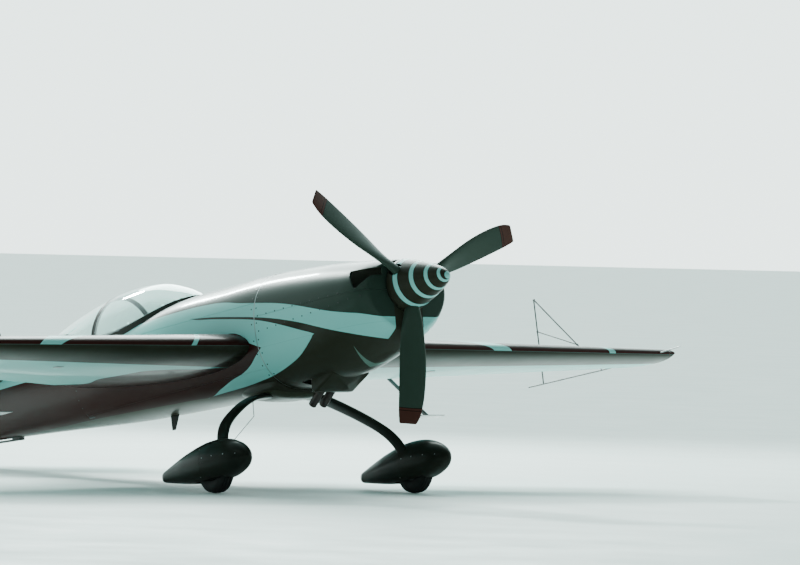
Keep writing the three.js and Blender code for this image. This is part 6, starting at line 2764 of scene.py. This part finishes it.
    def seat(self) -> None:
        """Builds the bucket, its two cushions and the harness."""
        bucket = plate("seat_bucket", [
            (3292, -424.5), (3292, -385), (3560, -362), (3655, -345), (3905, 92), (3950, 84), (3800, -424.5),
        ], -196, 196, 9)
        room = plate("room", [
            (3270, -300), (3310, -372), (3555, -348), (3640, -330), (3885, 130), (3500, 300),
        ], -176, 176, 12)
        work(bucket, "DIFFERENCE", room)
        self.shop.hand_over(bucket, Body.AIRFRAME, (CARBON,), "carbon")
        base = self.cushion("seat_cushion", (-3320, 0, -386), (-3575, 0, -362), 168, 44, 4)
        back = self.cushion("seat_back_cushion", (-3660, 0, -330), (-3884, 0, 78), 160, 40, 6)
        for pad in (base, back):
            self.shop.hand_over(pad, Body.AIRFRAME, (SEAT_CLOTH,), "seat_cloth", ["seat"], 60)
        straps = []
        for sign in (1, -1):
            straps.append(self.strap([
                (-3960, sign * 40, 60), (-3925, sign * 52, 108), (-3880, sign * 60, 100),
                (-3800, sign * 66, -10),
                (-3700, sign * 60, -170), (-3610, sign * 40, -290), (-3560, sign * 18, -318),
            ], (0, 1, 0)))
            straps.append(self.strap([
                (-3690, sign * 188, -330), (-3640, sign * 150, -300), (-3590, sign * 90, -300),
                (-3555, sign * 30, -312),
            ], (-0.5, 0, 0.85)))
        self.shop.hand_over(
            joined("harness_webbing", straps), Body.AIRFRAME, (WEBBING,), "seat_cloth", (), 30,
        )
        buckle = turned(
            "harness_buckle", [(4, -8), (26, -8), (30, -4), (30, 4), (24, 9), (4, 11)], 40,
            (-3556, 0, -300), "z",
        )
        self.shop.hand_over(buckle, Body.AIRFRAME, (STEEL,), "bare_metal")

    def strap(self, points: Sequence[Point], across: Point) -> Piece:
        """A flat strap along a path.

        Args:
            points: Its path.
            across: The way its width lies.

        Returns:
            The strap.
        """
        path = [Vector(p) for p in smooth_path(points, 40)]
        rings = []
        for i, point in enumerate(path):
            along = (path[min(i + 1, len(path) - 1)] - path[max(i - 1, 0)]).normalized()
            side = Vector(across)
            side = (side - along * side.dot(along)).normalized()
            out = along.cross(side)
            rings.append([tuple(point + side * u + out * v) for u, v in (
                (-23, -0.7), (-22, -1.2), (22, -1.2), (23, -0.7), (23, 0.7), (22, 1.2), (-22, 1.2),
                (-23, 0.7),
            )])
        return loft("strap", rings)

    def controls(self) -> None:
        """Builds the stick with its gaiter, the throttle levers and the pedals."""
        s = -3130.0
        shaft = loft("control_stick_shaft", tube_rings(
            smooth_path([(s, 0, -424.5), (s, 0, -300), (s, 0, -200), (s, 0, -90)], 12), [10.5] * 13, 28,
        ))
        self.shop.hand_over(shaft, Body.AIRFRAME, (POWDER_COAT,), "black_plastic", ["control_stick"])
        grip = loft("control_stick_grip", [
            [(s + r * 1.05 * math.cos(a), r * 0.86 * math.sin(a), z) for a in full_turn(32)]
            for z, r in (
                (-95, 11), (-92, 15), (-84, 16), (-74, 15), (-64, 16.4), (-54, 14.8), (-44, 16.2),
                (-34, 14.8),
                (-24, 16), (-12, 15.4), (0, 16.6), (8, 16), (13, 12), (15, 6),
            )
        ])
        self.shop.hand_over(grip, Body.AIRFRAME, (PLASTIC,), "black_plastic", (), 50)
        gaiter = loft("stick_gaiter", [
            [(s + r * math.cos(a), r * math.sin(a), z) for a in full_turn(40)]
            for z, r in ((-424, 64), (-418, 66), (-410, 58), (-404, 52), (-398, 54), (-390, 44), (-384, 38),
                         (-378, 40), (-370, 30), (-362, 24), (-354, 25), (-346, 17), (-338, 13), (-334, 12))
        ])
        self.shop.hand_over(gaiter, Body.AIRFRAME, (LEATHER,), "black_plastic", (), 60)
        box = plate(
            "throttle_box",
            [(2990, -150), (3160, -150), (3160, -60), (3120, -38), (3030, -38), (2990, -60)], 292, 330, 5,
        )
        levers = [box]
        for k, y in enumerate((300, 311, 322)):
            tip = (-3010 - 28 * k, y, 35)
            levers.append(bar("lever", (-3075, y, -60), tip, 3, 12))
            levers.append(
                turned("knob", [(2, -10), (8, -9), (11, -3), (11, 3), (8, 9), (2, 10)], 28, tip, "y"),
            )
        self.shop.hand_over(joined("throttle_quadrant", levers), Body.AIRFRAME, (PLASTIC,), "black_plastic")
        pedals = []
        for sign in (1, -1):
            y = sign * 120
            pedals.append(
                plate("pedal", [(2236, -400), (2246, -400), (2226, -262), (2216, -262)], y - 42, y + 42, 3),
            )
            pedals.append(bar("post", (-2250, y, -424), (-2228, y, -300), 8, 16))
            pedals.append(bar("bar", (-2236, y - 48, -392), (-2236, y + 48, -392), 9, 20))
        self.shop.hand_over(joined("rudder_pedals", pedals), Body.AIRFRAME, (ALLOY,), "bare_metal")


def main() -> None:
    """Builds the studio and every sub-assembly in order."""
    logging.basicConfig(level=logging.INFO, format="%(message)s")
    shop, hull, bubble, studio = Workshop(), Hull(), Bubble(), Studio()
    studio.camera()
    studio.floor(shop)
    studio.light()
    Fuselage(shop, hull).build(bubble)
    PowerUnit(shop).build()
    Canopy(shop, hull, bubble).build()
    Cockpit(shop).build()
    Wings(shop, hull).build()
    Tail(shop, hull).build()
    MainGear(shop, hull).build()
    Propeller(shop).build()
    hull.clear()


if __name__ == "__main__":
    main()
